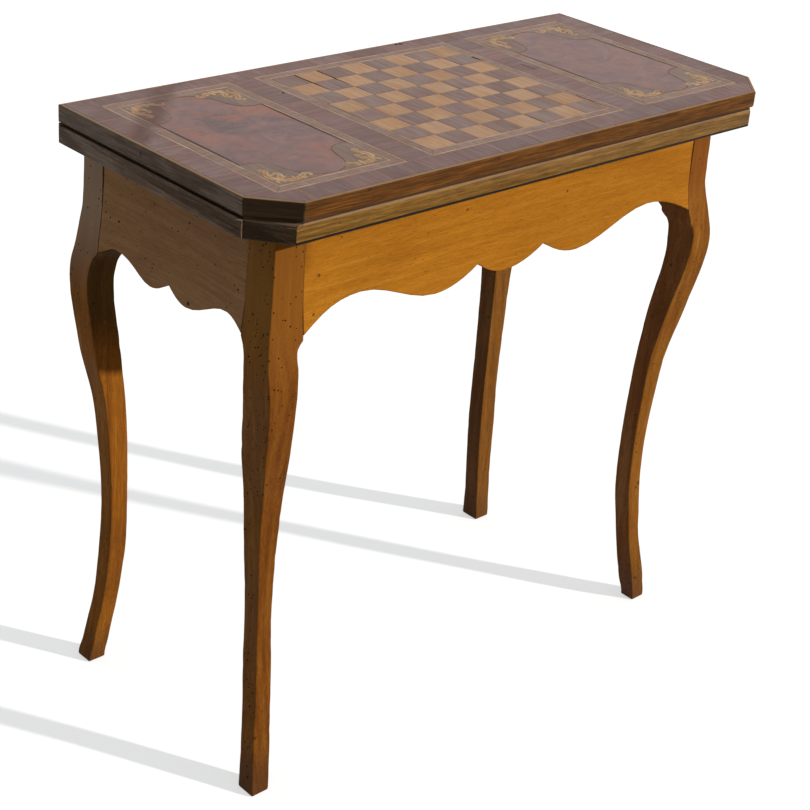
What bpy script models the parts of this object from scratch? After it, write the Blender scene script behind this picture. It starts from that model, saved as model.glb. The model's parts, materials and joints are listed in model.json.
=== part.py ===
"""Folding games table on four sawn cabriole legs.

Two leaves lie one on the other. The upper one, veneered with a chessboard between two panels,
turns over about brass hinges on the back edge. The back left leg swings out on a wooden knuckle
joint in the rail behind the frame and carries the opened leaf. Metres, +Z up, front towards -Y.
"""

import math

import bmesh
import bpy
from mathutils import Matrix, Vector

# Overall sizes
TABLE_HEIGHT = 0.750
LEAF_WIDTH = 0.784
LEAF_DEPTH = 0.363
LEAF_THICK = 0.020
LEAF_GAP = 0.0006
CANT_ALONG = 0.042
CANT_BACK = 0.043
SIDE_OVERHANG = 0.0491
FRONT_OVERHANG = 0.0526
BACK_PROJECTION = 0.0268

# Fits
SEAT_GAP = 0.0003
GATE_GAP = 0.0009
RUNNING_GAP = 0.0004
PIN_GAP = 0.00009
OVERRUN = 0.004
SMOOTH_BELOW_DEGREES = 30
MITRE_GAP_SHARE = 0.75

# Edging and veneers of the leaves
LIPPING = 0.0040
MEETING_ROUND = 0.0030
OUTER_ROUND = 0.0012
HINGE_SIDE_ROUND = 0.0006
VENEER = 0.0009
BOARD_MARGIN = 0.0310
BOARD_SHIFT = 0.0038
END_MARGIN = 0.0355
SQUARE_COUNT = 8
SQUARE_LINE = 0.0004
SQUARE_LINE_DEPTH = 0.0003
STRING = 0.0025
BAND = 0.0095
END_PANEL_SPACE = 0.0345
BAIZE = 0.0009
BAIZE_MARGIN = 0.046

# Brass hinges of the leaves
HINGE_LENGTH = 0.046
HINGE_DROP = 0.0145
HINGE_PLATE = 0.0015
HINGE_INSET = 0.110
HINGE_SETBACK = 0.0005
BARREL_RADIUS = 0.0024
HINGE_PIN_RADIUS = 0.0010
KNUCKLES_PER_HINGE = 3

# Legs
POST = 0.0395
KNEE_BULGE = 0.0136
ARRIS = 0.0011
TENON_LENGTH = 0.022
TENON_THICK = 0.009
TENON_FROM_FACE = 0.0055
TENON_DROP = 0.010
TENON_RISE = 0.022

# Height as a share of the leg, reach beyond the post as a share of the knee's bulge
LEG_OUTER_SHARES = (
    (0.000, 0.56), (0.062, 0.07), (0.165, -0.62), (0.345, -1.00), (0.505, -0.66),
    (0.635, 0.36), (0.752, 1.00), (0.815, 0.62), (0.885, 0.14), (0.950, 0.00), (1.000, 0.00),
)
# Height as a share of the leg, depth of the inner side as a share of the post
LEG_INNER_SHARES = (
    (0.000, 0.41), (0.056, 0.51), (0.127, 0.66), (0.183, 0.76), (0.254, 0.86), (0.340, 0.89), (0.423, 0.91),
    (0.508, 0.91), (0.592, 0.86), (0.649, 0.785), (0.705, 0.69), (0.747, 0.66), (0.780, 0.72), (0.798, 0.86),
    (0.8095, 1.00), (1.000, 1.00),
)
# The old legs were shaped by hand and differ a little: at these heights, as shares of the leg,
# each side of each leg adds to the common curve by a share of the post
OUTER_HAND_HEIGHTS = (0.00, 0.07, 0.16, 0.30, 0.45, 0.60, 0.72, 0.80, 0.88, 1.00)
INNER_HAND_HEIGHTS = (0.00, 0.07, 0.16, 0.30, 0.45, 0.60, 0.72, 0.8095)
HAND_SHARES = {
    "front_left": {
        "outer_x": (-0.081, -0.029, 0.004, 0.020, 0.048, -0.035, -0.125, -0.066, -0.050, -0.050),
        "outer_y": (0.085, 0.066, 0.059, -0.014, -0.037, 0.009, 0.041, -0.047, -0.010, 0.036),
        "inner_x": (0.061, 0.077, 0.018, -0.074, -0.063, -0.040, 0.034, 0.000),
        "inner_y": (-0.037, -0.018, 0.032, 0.066, 0.111, 0.116, 0.095, 0.000),
    },
    "front_right": {
        "outer_x": (0.130, 0.085, 0.028, -0.017, 0.007, 0.022, 0.036, 0.059, 0.064, 0.060),
        "outer_y": (-0.130, -0.009, -0.022, -0.059, -0.054, -0.090, -0.018, 0.082, 0.004, 0.007),
        "inner_x": (-0.179, -0.054, -0.034, 0.002, 0.008, -0.005, -0.108, -0.258),
        "inner_y": (0.075, 0.099, 0.104, 0.119, 0.022, -0.085, -0.085, 0.000),
    },
    "back_left": {
        "outer_x": (0.003, 0.005, 0.011, 0.008, 0.041, 0.066, 0.010, -0.006, 0.008, -0.023),
        "outer_y": (0.011, 0.008, 0.004, -0.003, 0.008, -0.018, -0.072, -0.091, -0.069, -0.030),
        "inner_x": (-0.029, -0.015, 0.012, 0.012, -0.040, -0.140, -0.108, 0.000),
        "inner_y": (0.023, 0.008, 0.008, 0.008, -0.012, -0.033, -0.017, 0.000),
    },
    "back_right": {
        "outer_x": (0.036, 0.045, 0.041, 0.012, 0.033, 0.025, 0.012, 0.004, 0.001, 0.000),
        "outer_y": (0.008, 0.022, 0.068, 0.088, 0.019, -0.067, -0.045, -0.021, -0.008, -0.002),
        "inner_x": (-0.014, 0.032, 0.097, 0.088, 0.040, -0.025, -0.017, 0.000),
        "inner_y": (0.087, 0.058, 0.024, -0.010, -0.003, -0.019, -0.010, 0.000),
    },
}
# The back right leg leans in and forwards from here down, by this much at the floor
LEANING_LEG = "back_right"
LEAN_TOP_SHARE = 0.8095
LEAN_IN = 0.0225
LEAN_FORWARD = 0.0347
LEG_SPANS = 26
CURVED_SHARE = 0.90
STATION_SPACE_SHARE = 0.010

# Aprons and rails
APRON_THICK = 0.020
FRONT_APRON_DEPTH = 0.1325
SIDE_APRON_DEPTH = 0.1459
FRONT_SCALLOP = 0.0348
SIDE_SCALLOP = 0.0243
FLARE_LENGTH = 0.060
BACK_RAIL_THICK = 0.020
RAIL_DEPTH = 0.105
FLY_THICK = 0.022
FLY_FROM_MIDDLE = 0.020
FINGER_COUNT = 5
KNUCKLE_EASE_DEGREES = 1.5
KNUCKLE_PIN_RADIUS = 0.0030
PIN_FACETS = 40
TAIL_COUNT = 3
TAIL_LENGTH = 0.013
TAIL_ROOT = 0.015
TAIL_END = 0.021

# Distance from the middle as a share of the half length, height as a share of the scallop,
# and how the edge runs on to the next point: level at first, level at last or level at both.
# The front list runs from left to right, the side list from front to back.
FRONT_SCALLOP_SHARES = (
    (-1.000, 0.070, "last"), (-0.737, 0.860, "both"), (-0.3735, 0.000, "first"), (-0.167, 0.615, "last"),
    (-0.023, 0.106, "first"), (0.178, 0.672, "last"), (0.366, 0.069, "both"), (0.762, 1.000, "first"),
    (1.000, 0.414, ""),
)
SIDE_SCALLOP_SHARES = (
    (-1.000, 0.520, "last"), (-0.774, 1.000, "both"), (-0.192, 0.000, "first"), (0.057, 0.660, "last"),
    (0.321, 0.000, "both"), (0.779, 0.940, "first"), (1.000, 0.460, ""),
)
APRON_STATIONS_PER_SPAN = 6
APRON_ROWS = 6
ROW_CROWDING = 0.6

# Blocks and screws inside the frame
BLOCK_LEG = 0.040
BLOCK_HEIGHT = 0.055
SCREW_RADIUS = 0.0020
SCREW_HEAD_RADIUS = 0.0040
SCREW_HEAD_HEIGHT = 0.0025
SCREW_BITE = 0.010
SCREW_INSET = 0.014


def smooth_through(points, x):
    """A curve through the points that never swings past them, as a bent batten lies against nails."""
    slopes = [(b[1] - a[1]) / (b[0] - a[0]) for a, b in zip(points, points[1:])]
    tangents = [slopes[0]]
    for a, b in zip(slopes, slopes[1:]):
        tangents.append(0.0 if a * b <= 0 else 2 * a * b / (a + b))
    tangents.append(slopes[-1])
    for i, (a, b) in enumerate(zip(points, points[1:])):
        if x <= b[0] or i == len(points) - 2:
            step = b[0] - a[0]
            t = min(max((x - a[0]) / step, 0.0), 1.0)
            ease = t * t * (3 - 2 * t)
            return (
                a[1] * (1 - ease) + b[1] * ease
                + step * (tangents[i] * t * (1 - t) ** 2 - tangents[i + 1] * t * t * (1 - t))
            )


def leg_outer(leg, way, z):
    """How far this leg's outer face, the one across x or y, stands beyond the post at this height."""
    share = z / LEG_HEIGHT
    own = tuple(zip(OUTER_HAND_HEIGHTS, HAND_SHARES[leg][f"outer_{way}"]))
    return KNEE_BULGE * smooth_through(LEG_OUTER_SHARES, share) + POST * smooth_through(own, share)


def leg_inner(leg, way, z):
    """How far this leg's inner face, the one across x or y, lies behind the frame's plane at this height."""
    share = z / LEG_HEIGHT
    own = tuple(zip(INNER_HAND_HEIGHTS, HAND_SHARES[leg][f"inner_{way}"]))
    return POST * (smooth_through(LEG_INNER_SHARES, share) + smooth_through(own, share))


def leg_stations():
    shares = [share for share, _ in LEG_OUTER_SHARES + LEG_INNER_SHARES]
    shares += [*OUTER_HAND_HEIGHTS, *INNER_HAND_HEIGHTS]
    shares += [i / LEG_SPANS for i in range(LEG_SPANS) if i < LEG_SPANS * CURVED_SHARE]
    kept = []
    for share in sorted(set(shares)):
        if not kept or share - kept[-1] > STATION_SPACE_SHARE or share in (LEAN_TOP_SHARE, 1):
            kept.append(share)
    return [share * LEG_HEIGHT for share in kept]


def leg_section(leg, z):
    """Across x and then y: how far the outer face reaches beyond the frame's plane and the inner one lies behind it."""
    lean = max(0.0, 1 - z / (LEAN_TOP_SHARE * LEG_HEIGHT)) if leg == LEANING_LEG else 0.0
    across_x = leg_outer(leg, "x", z) - LEAN_IN * lean, leg_inner(leg, "x", z) + LEAN_IN * lean
    across_y = leg_outer(leg, "y", z) - LEAN_FORWARD * lean, leg_inner(leg, "y", z) + LEAN_FORWARD * lean
    return across_x, across_y


# Sizes that follow from those above
UNDERSIDE = TABLE_HEIGHT - 2 * LEAF_THICK - LEAF_GAP
MEETING = UNDERSIDE + LEAF_THICK + LEAF_GAP / 2
LEG_HEIGHT = UNDERSIDE - SEAT_GAP
BACK_KNEE_REACH = max(leg_section(leg, z)[1][0] for leg in ("back_left", "back_right") for z in leg_stations())
BACK_REACH = LEAF_DEPTH / 2 + BACK_PROJECTION + BACK_KNEE_REACH
PLAN_SHIFT = (LEAF_DEPTH / 2 - BACK_REACH) / 2
LEAF_FRONT = PLAN_SHIFT - LEAF_DEPTH / 2
LEAF_BACK = PLAN_SHIFT + LEAF_DEPTH / 2
SIDE_PLANE = LEAF_WIDTH / 2 - SIDE_OVERHANG
FRONT_PLANE = LEAF_FRONT + FRONT_OVERHANG
BACK_PLANE = LEAF_BACK + BACK_PROJECTION
BACK_POST_FRONT = BACK_PLANE - POST
FOLD_AXIS = Vector((0, LEAF_BACK + HINGE_SETBACK, MEETING))
FLY_MIDDLE = BACK_POST_FRONT + RUNNING_GAP + FLY_THICK / 2
GATE_AXIS = Vector((-FLY_FROM_MIDDLE, FLY_MIDDLE, LEG_HEIGHT - RAIL_DEPTH / 2))
BOARD = LEAF_DEPTH - 2 * BOARD_MARGIN
BOARD_MIDDLE = PLAN_SHIFT + BOARD_SHIFT
SQUARE = (BOARD - 2 * (2 * STRING + BAND)) / SQUARE_COUNT
END_PANEL_WIDTH = (LEAF_WIDTH - BOARD) / 2 - END_PANEL_SPACE - END_MARGIN

# Colour, roughness and metallic value of each finish
FINISHES = {
    "edge_walnut": ((0.20, 0.105, 0.050), 0.42, 0.0),
    "apron_walnut": ((0.40, 0.205, 0.065), 0.45, 0.0),
    "leg_walnut": ((0.36, 0.180, 0.060), 0.48, 0.0),
    "inner_pine": ((0.42, 0.29, 0.16), 0.75, 0.0),
    "crossband": ((0.175, 0.095, 0.065), 0.30, 0.0),
    "light_string": ((0.52, 0.36, 0.20), 0.32, 0.0),
    "tone_band": ((0.26, 0.150, 0.085), 0.30, 0.0),
    "burr": ((0.24, 0.120, 0.075), 0.28, 0.0),
    "chess": ((0.40, 0.25, 0.14), 0.30, 0.0),
    "baize": ((0.045, 0.145, 0.075), 0.95, 0.0),
    "brass": ((0.72, 0.52, 0.22), 0.38, 1.0),
    "iron": ((0.16, 0.15, 0.14), 0.55, 1.0),
}


def clear_scene():
    for old in list(bpy.data.objects):
        bpy.data.objects.remove(old, do_unlink=True)


def new_collection(name):
    made = bpy.data.collections.new(name)
    bpy.context.scene.collection.children.link(made)
    return made


def finish_material(name):
    found = bpy.data.materials.get(name)
    if found:
        return found
    colour, roughness, metallic = FINISHES[name]
    made = bpy.data.materials.new(name)
    made.use_nodes = True
    shader = made.node_tree.nodes["Principled BSDF"]
    shader.inputs["Base Color"].default_value = (*colour, 1.0)
    shader.inputs["Roughness"].default_value = roughness
    shader.inputs["Metallic"].default_value = metallic
    return made


def object_from(bm, name, finish, origin=None, axis=None, rounded=False):
    """Puts the shape's own origin at the given point, or at the middle of its base, and files the object."""
    bmesh.ops.recalc_face_normals(bm, faces=bm.faces)
    if rounded:
        for face in bm.faces:
            face.smooth = True
        for edge in bm.edges:
            edge.smooth = edge.calc_face_angle() < math.radians(SMOOTH_BELOW_DEGREES)
    mesh = bpy.data.meshes.new(name)
    bm.to_mesh(mesh)
    bm.free()
    if origin is None:
        xs, ys, zs = zip(*(v.co for v in mesh.vertices))
        origin = Vector(((min(xs) + max(xs)) / 2, (min(ys) + max(ys)) / 2, min(zs)))
    mesh.transform(Matrix.Translation(-origin))
    made = bpy.data.objects.new(name, mesh)
    made.location = origin
    if finish:
        mesh.materials.append(finish_material(finish))
        parts.objects.link(made)
    else:
        made.hide_render = True
        made.display_type = "WIRE"
        cutters.objects.link(made)
    if axis:
        made.parent = axis
        made.matrix_parent_inverse = Matrix.Translation(-axis.location)
    return made


def axis_empty(name, place):
    made = bpy.data.objects.new(name, None)
    made.location = place
    parts.objects.link(made)
    return made


def boolean(piece, other, operation="DIFFERENCE"):
    step = piece.modifiers.new(other.name, "BOOLEAN")
    step.operation = operation
    step.solver = "EXACT"
    step.object = other


def bevel(piece, width, segments, angle):
    step = piece.modifiers.new("arris", "BEVEL")
    step.width = width
    step.segments = segments
    step.limit_method = "ANGLE"
    step.angle_limit = math.radians(angle)


def box_mesh(low, high):
    bm = bmesh.new()
    size = Vector(high) - Vector(low)
    bmesh.ops.create_cube(bm, size=1.0)
    bmesh.ops.scale(bm, vec=size, verts=bm.verts)
    bmesh.ops.translate(bm, vec=(Vector(low) + Vector(high)) / 2, verts=bm.verts)
    return bm


def prism_mesh(outline, low, high):
    """A flat outline in X and Y, drawn up from low to high."""
    bm = bmesh.new()
    face = bm.faces.new([bm.verts.new((x, y, low)) for x, y in outline])
    grown = bmesh.ops.extrude_face_region(bm, geom=[face])["geom"]
    top = [v for v in grown if isinstance(v, bmesh.types.BMVert)]
    bmesh.ops.translate(bm, vec=(0, 0, high - low), verts=top)
    return bm


def ring_mesh(half_x, half_y, middle, width, low, high):
    """A flat rectangular ring: the outline is inset by its width and the middle taken out."""
    bm = bmesh.new()
    corners = ((-1, -1), (1, -1), (1, 1), (-1, 1))
    face = bm.faces.new([bm.verts.new((middle[0] + i * half_x, middle[1] + j * half_y, low)) for i, j in corners])
    bm.normal_update()
    bmesh.ops.inset_region(bm, faces=[face], thickness=width, use_even_offset=True, use_boundary=True)
    bmesh.ops.delete(bm, geom=[face], context="FACES_ONLY")
    grown = bmesh.ops.extrude_face_region(bm, geom=list(bm.faces))["geom"]
    top = [v for v in grown if isinstance(v, bmesh.types.BMVert)]
    bmesh.ops.translate(bm, vec=(0, 0, high - low), verts=top)
    return bm


def rod_mesh(radius, start, end, segments):
    bm = bmesh.new()
    along = Vector(end) - Vector(start)
    turn = along.to_track_quat("Z", "Y").to_matrix().to_4x4()
    place = Matrix.Translation((Vector(start) + Vector(end)) / 2) @ turn
    bmesh.ops.create_cone(
        bm, cap_ends=True, segments=segments, radius1=radius, radius2=radius, depth=along.length, matrix=place
    )
    return bm


def loft_mesh(sections):
    """Faces between equal rings of points, one ring after the other, closed at both ends."""
    bm = bmesh.new()
    rings = [[bm.verts.new(point) for point in section] for section in sections]
    count = len(rings[0])
    for near, far in zip(rings, rings[1:]):
        for i in range(count):
            j = (i + 1) % count
            bm.faces.new((near[i], near[j], far[j], far[i]))
    bm.faces.new(list(reversed(rings[0])))
    bm.faces.new(rings[-1])
    return bm


def inset_outline(points, inset):
    """The outline of a convex shape, run anticlockwise, moved inwards by the inset."""
    moved = []
    for i, here in enumerate(points):
        before = Vector(points[i - 1])
        after = Vector(points[(i + 1) % len(points)])
        here = Vector(here)
        first, second = (here - before).normalized(), (after - here).normalized()
        first_in, second_in = Vector((-first.y, first.x)), Vector((-second.y, second.x))
        moved.append(here + (first_in + second_in) * inset / (1 + first_in.dot(second_in)))
    return moved


def leaf_outline():
    half = LEAF_WIDTH / 2
    return [
        (-half, LEAF_BACK),
        (-half, LEAF_FRONT + CANT_BACK),
        (-half + CANT_ALONG, LEAF_FRONT),
        (half - CANT_ALONG, LEAF_FRONT),
        (half, LEAF_FRONT + CANT_BACK),
        (half, LEAF_BACK),
    ]


def arc(middle, radius, start, turn, steps):
    """Points of an arc in the plane, from a start angle through a turn, both in degrees."""
    angles = [math.radians(start + turn * i / steps) for i in range(steps + 1)]
    return [(middle[0] + radius * math.cos(a), middle[1] + radius * math.sin(a)) for a in angles]


def lipping_profile(meeting, outer, meeting_round):
    """Inset and height of the edging's section, from its meeting face round its outer side."""
    up = 1 if outer > meeting else -1
    near = arc((meeting_round, meeting + up * meeting_round), meeting_round, -90 * up, -90 * up, 3)
    far = arc((OUTER_ROUND, outer - up * OUTER_ROUND), OUTER_ROUND, 180, -90 * up, 2)
    return [(LIPPING, meeting), *near, *far, (LIPPING, outer)]


def make_lippings(prefix, meeting, outer, axis, pockets):
    names = ("left", "left_corner", "front", "right_corner", "right", "back")
    outline = leaf_outline()
    for i, side in enumerate(names):
        at_back = side == "back"
        profile = lipping_profile(meeting, outer, HINGE_SIDE_ROUND if at_back else MEETING_ROUND)
        start, end = Vector(outline[i]), Vector(outline[(i + 1) % len(outline)])
        back_off = (end - start).normalized() * SEAT_GAP * MITRE_GAP_SHARE
        rings = [[], []]
        for inset, height in profile:
            moved = inset_outline(outline, inset)
            rings[0].append((*(moved[i] + back_off), height))
            rings[1].append((*(moved[(i + 1) % len(moved)] - back_off), height))
        piece = object_from(loft_mesh(rings), f"{prefix}_lipping_{side}", "edge_walnut", axis=axis, rounded=True)
        if at_back:
            for pocket in pockets:
                boolean(piece, pocket)


def make_core(prefix, low, high, pocket_low, pocket_high, baize_low, baize_high, axis):
    inner = inset_outline(leaf_outline(), LIPPING + SEAT_GAP)
    core = object_from(prism_mesh(inner, low, high), f"{prefix}_core", "edge_walnut", axis=axis)
    half_x, half_y = LEAF_WIDTH / 2 - BAIZE_MARGIN, LEAF_DEPTH / 2 - BAIZE_MARGIN
    recess = box_mesh(
        (-half_x, PLAN_SHIFT - half_y, pocket_low), (half_x, PLAN_SHIFT + half_y, pocket_high)
    )
    boolean(core, object_from(recess, f"{prefix}_baize_recess", None))
    cloth = box_mesh(
        (-half_x + SEAT_GAP, PLAN_SHIFT - half_y + SEAT_GAP, baize_low),
        (half_x - SEAT_GAP, PLAN_SHIFT + half_y - SEAT_GAP, baize_high),
    )
    object_from(cloth, f"{prefix}_baize", "baize", axis=axis)


def make_leaves(fold, hinge_pockets):
    low_meeting, high_meeting = MEETING - LEAF_GAP / 2, MEETING + LEAF_GAP / 2
    baize_bed = BAIZE + 2 * SEAT_GAP
    make_lippings("lower_leaf", low_meeting, UNDERSIDE, None, hinge_pockets)
    make_lippings("upper_leaf", high_meeting, TABLE_HEIGHT, fold, hinge_pockets)
    make_core(
        "lower_leaf", UNDERSIDE, low_meeting, low_meeting - baize_bed, low_meeting + OVERRUN,
        low_meeting - SEAT_GAP - BAIZE, low_meeting - SEAT_GAP, None,
    )
    make_core(
        "upper_leaf", high_meeting, TABLE_HEIGHT - VENEER - SEAT_GAP, high_meeting - OVERRUN,
        high_meeting + baize_bed, high_meeting + SEAT_GAP, high_meeting + SEAT_GAP + BAIZE, fold,
    )


def make_panel(prefix, middle_x, half_x, half_y, field_finish, fold):
    """A field framed by a light string, a band and a second light string."""
    low, high = TABLE_HEIGHT - VENEER, TABLE_HEIGHT
    middle = (middle_x, BOARD_MIDDLE)
    inset = 0
    for piece, width, finish in (
        ("outer_string", STRING, "light_string"), ("band", BAND, "tone_band"),
        ("inner_string", STRING, "light_string"),
    ):
        ring = ring_mesh(half_x - inset, half_y - inset, middle, width - SEAT_GAP, low, high)
        object_from(ring, f"{prefix}_{piece}", finish, axis=fold)
        inset += width
    field_x, field_y = half_x - inset, half_y - inset
    field = box_mesh(
        (middle_x - field_x, BOARD_MIDDLE - field_y, low), (middle_x + field_x, BOARD_MIDDLE + field_y, high)
    )
    return object_from(field, f"{prefix}_field", field_finish, axis=fold)


def square_line_cutter(name, along_x):
    """Seven thin bars, which cut the lines between the squares one way of the board."""
    bm = bmesh.new()
    reach = BOARD / 2
    low, high = TABLE_HEIGHT - SQUARE_LINE_DEPTH, TABLE_HEIGHT + OVERRUN
    for i in range(1, SQUARE_COUNT):
        across = (i - SQUARE_COUNT / 2) * SQUARE
        start, end = across - SQUARE_LINE / 2, across + SQUARE_LINE / 2
        if along_x:
            bar = box_mesh((-reach, BOARD_MIDDLE + start, low), (reach, BOARD_MIDDLE + end, high))
        else:
            bar = box_mesh((start, BOARD_MIDDLE - reach, low), (end, BOARD_MIDDLE + reach, high))
        mesh = bpy.data.meshes.new("bar")
        bar.to_mesh(mesh)
        bar.free()
        bm.from_mesh(mesh)
        bpy.data.meshes.remove(mesh)
    return object_from(bm, name, None)


def make_marquetry(fold):
    low, high = TABLE_HEIGHT - VENEER, TABLE_HEIGHT
    half_y = BOARD / 2
    end_middle = BOARD / 2 + END_PANEL_SPACE + END_PANEL_WIDTH / 2
    board = make_panel("chessboard", 0, BOARD / 2, half_y, "chess", fold)
    boolean(board, square_line_cutter("rank_lines", True))
    boolean(board, square_line_cutter("file_lines", False))
    make_panel("left_panel", -end_middle, END_PANEL_WIDTH / 2, half_y, "burr", fold)
    make_panel("right_panel", end_middle, END_PANEL_WIDTH / 2, half_y, "burr", fold)
    sheet = prism_mesh(inset_outline(leaf_outline(), LIPPING + SEAT_GAP), low, high)
    banding = object_from(sheet, "crossbanding", "crossband", axis=fold)
    for name, middle_x, half_x in (
        ("board_window", 0, BOARD / 2), ("left_window", -end_middle, END_PANEL_WIDTH / 2),
        ("right_window", end_middle, END_PANEL_WIDTH / 2),
    ):
        window = box_mesh(
            (middle_x - half_x - SEAT_GAP, BOARD_MIDDLE - half_y - SEAT_GAP, low - OVERRUN),
            (middle_x + half_x + SEAT_GAP, BOARD_MIDDLE + half_y + SEAT_GAP, high + OVERRUN),
        )
        boolean(banding, object_from(window, name, None))


def plate_section(up):
    """Section of a hinge plate and its barrel, from the plate's free end round the barrel."""
    middle = FOLD_AXIS.yz
    at_face = math.degrees(math.acos(-HINGE_SETBACK / BARREL_RADIUS))
    at_back = math.degrees(math.acos(-(HINGE_SETBACK + HINGE_PLATE) / BARREL_RADIUS))
    turn = 360 - (at_back - at_face)
    round_part = arc(middle, BARREL_RADIUS, up * at_face, -up * turn, 22)
    end = MEETING + up * HINGE_DROP
    return [(LEAF_BACK - HINGE_PLATE, end), (LEAF_BACK, end), *round_part]


def hinge_plate(name, middle_x, up, other_knuckles, axis):
    """One brass plate, let in flush with the back edge, with its share of the barrel."""
    step = HINGE_LENGTH / KNUCKLES_PER_HINGE
    start, end = middle_x - HINGE_LENGTH / 2, middle_x + HINGE_LENGTH / 2
    section = plate_section(up)
    extruded = loft_mesh([[(x, y, z) for y, z in section] for x in (start, end)])
    plate = object_from(extruded, name, "brass", axis=axis, rounded=True)
    near = MEETING + up * (BARREL_RADIUS + RUNNING_GAP)
    past = MEETING - up * (BARREL_RADIUS + OVERRUN)
    for i in other_knuckles:
        left = start + i * step - (RUNNING_GAP / 2 if i else OVERRUN)
        right = start + (i + 1) * step + (RUNNING_GAP / 2 if i < KNUCKLES_PER_HINGE - 1 else OVERRUN)
        space = box_mesh(
            (left, LEAF_BACK - HINGE_PLATE - OVERRUN, min(near, past)),
            (right, FOLD_AXIS.y + BARREL_RADIUS + OVERRUN, max(near, past)),
        )
        boolean(plate, object_from(space, f"{name}_space_{i}", None))
    run = [(x, *FOLD_AXIS.yz) for x in (start - OVERRUN, end + OVERRUN)]
    boolean(plate, object_from(rod_mesh(HINGE_PIN_RADIUS + PIN_GAP, *run, PIN_FACETS), f"{name}_bore", None))


def make_hinges(fold):
    """Three hinges. Returns the cutters for the beds that their plates and barrels lie in."""
    pockets = []
    places = {"left": -LEAF_WIDTH / 2 + HINGE_INSET, "middle": 0, "right": LEAF_WIDTH / 2 - HINGE_INSET}
    inner = [i for i in range(KNUCKLES_PER_HINGE) if i % 2]
    outer = [i for i in range(KNUCKLES_PER_HINGE) if not i % 2]
    for side, middle_x in places.items():
        hinge_plate(f"hinge_{side}_lower", middle_x, -1, inner, None)
        hinge_plate(f"hinge_{side}_upper", middle_x, 1, outer, fold)
        start, end = middle_x - HINGE_LENGTH / 2, middle_x + HINGE_LENGTH / 2
        pin = rod_mesh(HINGE_PIN_RADIUS, (start, *FOLD_AXIS.yz), (end, *FOLD_AXIS.yz), PIN_FACETS)
        object_from(pin, f"hinge_{side}_pin", "brass", rounded=True)
        start, end = start - SEAT_GAP, end + SEAT_GAP
        depth, reach = HINGE_PLATE + SEAT_GAP, HINGE_DROP + SEAT_GAP
        bed = box_mesh((start, LEAF_BACK - depth, MEETING - reach), (end, LEAF_BACK + OVERRUN, MEETING + reach))
        pockets.append(object_from(bed, f"hinge_{side}_bed", None))
        groove = rod_mesh(BARREL_RADIUS + RUNNING_GAP, (start, *FOLD_AXIS.yz), (end, *FOLD_AXIS.yz), 20)
        pockets.append(object_from(groove, f"hinge_{side}_groove", None))
    return pockets


def tenon_box(start, end, low, high, thick_low, thick_high, along_x):
    """A tenon or its mortise as a box: its run, its height and its thickness."""
    start, end = min(start, end), max(start, end)
    thick_low, thick_high = min(thick_low, thick_high), max(thick_low, thick_high)
    if along_x:
        return box_mesh((start, thick_low, low), (end, thick_high, high))
    return box_mesh((thick_low, start, low), (thick_high, end, high))


def scallop_height(share, shares):
    for (x0, z0, ease), (x1, z1, _) in zip(shares, shares[1:]):
        if share <= x1:
            t = (share - x0) / (x1 - x0)
            run = {"first": t * t, "last": 1 - (1 - t) ** 2, "both": t * t * (3 - 2 * t)}[ease]
            return z0 + (z1 - z0) * run
    return shares[-1][1]


def apron_mesh(start, end, depth, scallop, shares, legs, way, place):
    """Sections along the apron: a flat inner side, a scalloped foot, and an outer face that flares to the legs.

    legs names the two legs at its start and end, and way the outer faces that the apron runs flush with.
    """
    half_length, middle = (end - start) / 2, (end + start) / 2
    stations = []
    for (x0, _, _), (x1, _, _) in zip(shares, shares[1:]):
        stations += [x0 + (x1 - x0) * i / APRON_STATIONS_PER_SPAN for i in range(APRON_STATIONS_PER_SPAN)]
    stations.append(shares[-1][0])
    sections = []
    for share in stations:
        along = middle + share * half_length
        foot = LEG_HEIGHT - depth + scallop * scallop_height(share, shares)
        near = 1 - min(1.0, (1 - abs(share)) * half_length / FLARE_LENGTH)
        flare = near * near * (3 - 2 * near)
        leg = legs[0] if share < 0 else legs[1]
        falls = [(i / (APRON_ROWS - 1)) ** ROW_CROWDING for i in range(APRON_ROWS)]
        heights = [LEG_HEIGHT + (foot - LEG_HEIGHT) * fall for fall in falls]
        outer = [place(along, flare * leg_outer(leg, way, z), z) for z in heights]
        inner = [place(along, -APRON_THICK, foot), place(along, -APRON_THICK, LEG_HEIGHT)]
        sections.append(outer + inner)
    return loft_mesh(sections)


def tenon_heights(grow):
    return LEG_HEIGHT - RAIL_DEPTH + TENON_RISE - grow, LEG_HEIGHT - TENON_DROP + grow


def front_joint(side):
    """How far from the middle the front apron meets the leg of this side."""
    return SIDE_PLANE - leg_inner(f"front_{side}", "x", LEG_HEIGHT)


def make_front_apron():
    left, right = -front_joint("left") + SEAT_GAP, front_joint("right") - SEAT_GAP
    mesh = apron_mesh(
        left, right, FRONT_APRON_DEPTH, FRONT_SCALLOP, FRONT_SCALLOP_SHARES, ("front_left", "front_right"), "y",
        lambda along, out, z: (along, FRONT_PLANE - out, z),
    )
    apron = object_from(mesh, "front_apron", "apron_walnut", rounded=True)
    low, high = tenon_heights(0)
    near, far = FRONT_PLANE + TENON_FROM_FACE, FRONT_PLANE + TENON_FROM_FACE + TENON_THICK
    for side, sign, joint in (("left", -1, left), ("right", 1, right)):
        tenon = tenon_box(joint - sign * OVERRUN, joint + sign * TENON_LENGTH, low, high, near, far, True)
        boolean(apron, object_from(tenon, f"front_apron_tenon_{side}", None), "UNION")


def tail_spots():
    """Heights of the middles of the dovetails."""
    pitch = RAIL_DEPTH / TAIL_COUNT
    return [LEG_HEIGHT - RAIL_DEPTH + pitch * (i + 0.5) for i in range(TAIL_COUNT)]


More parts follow.
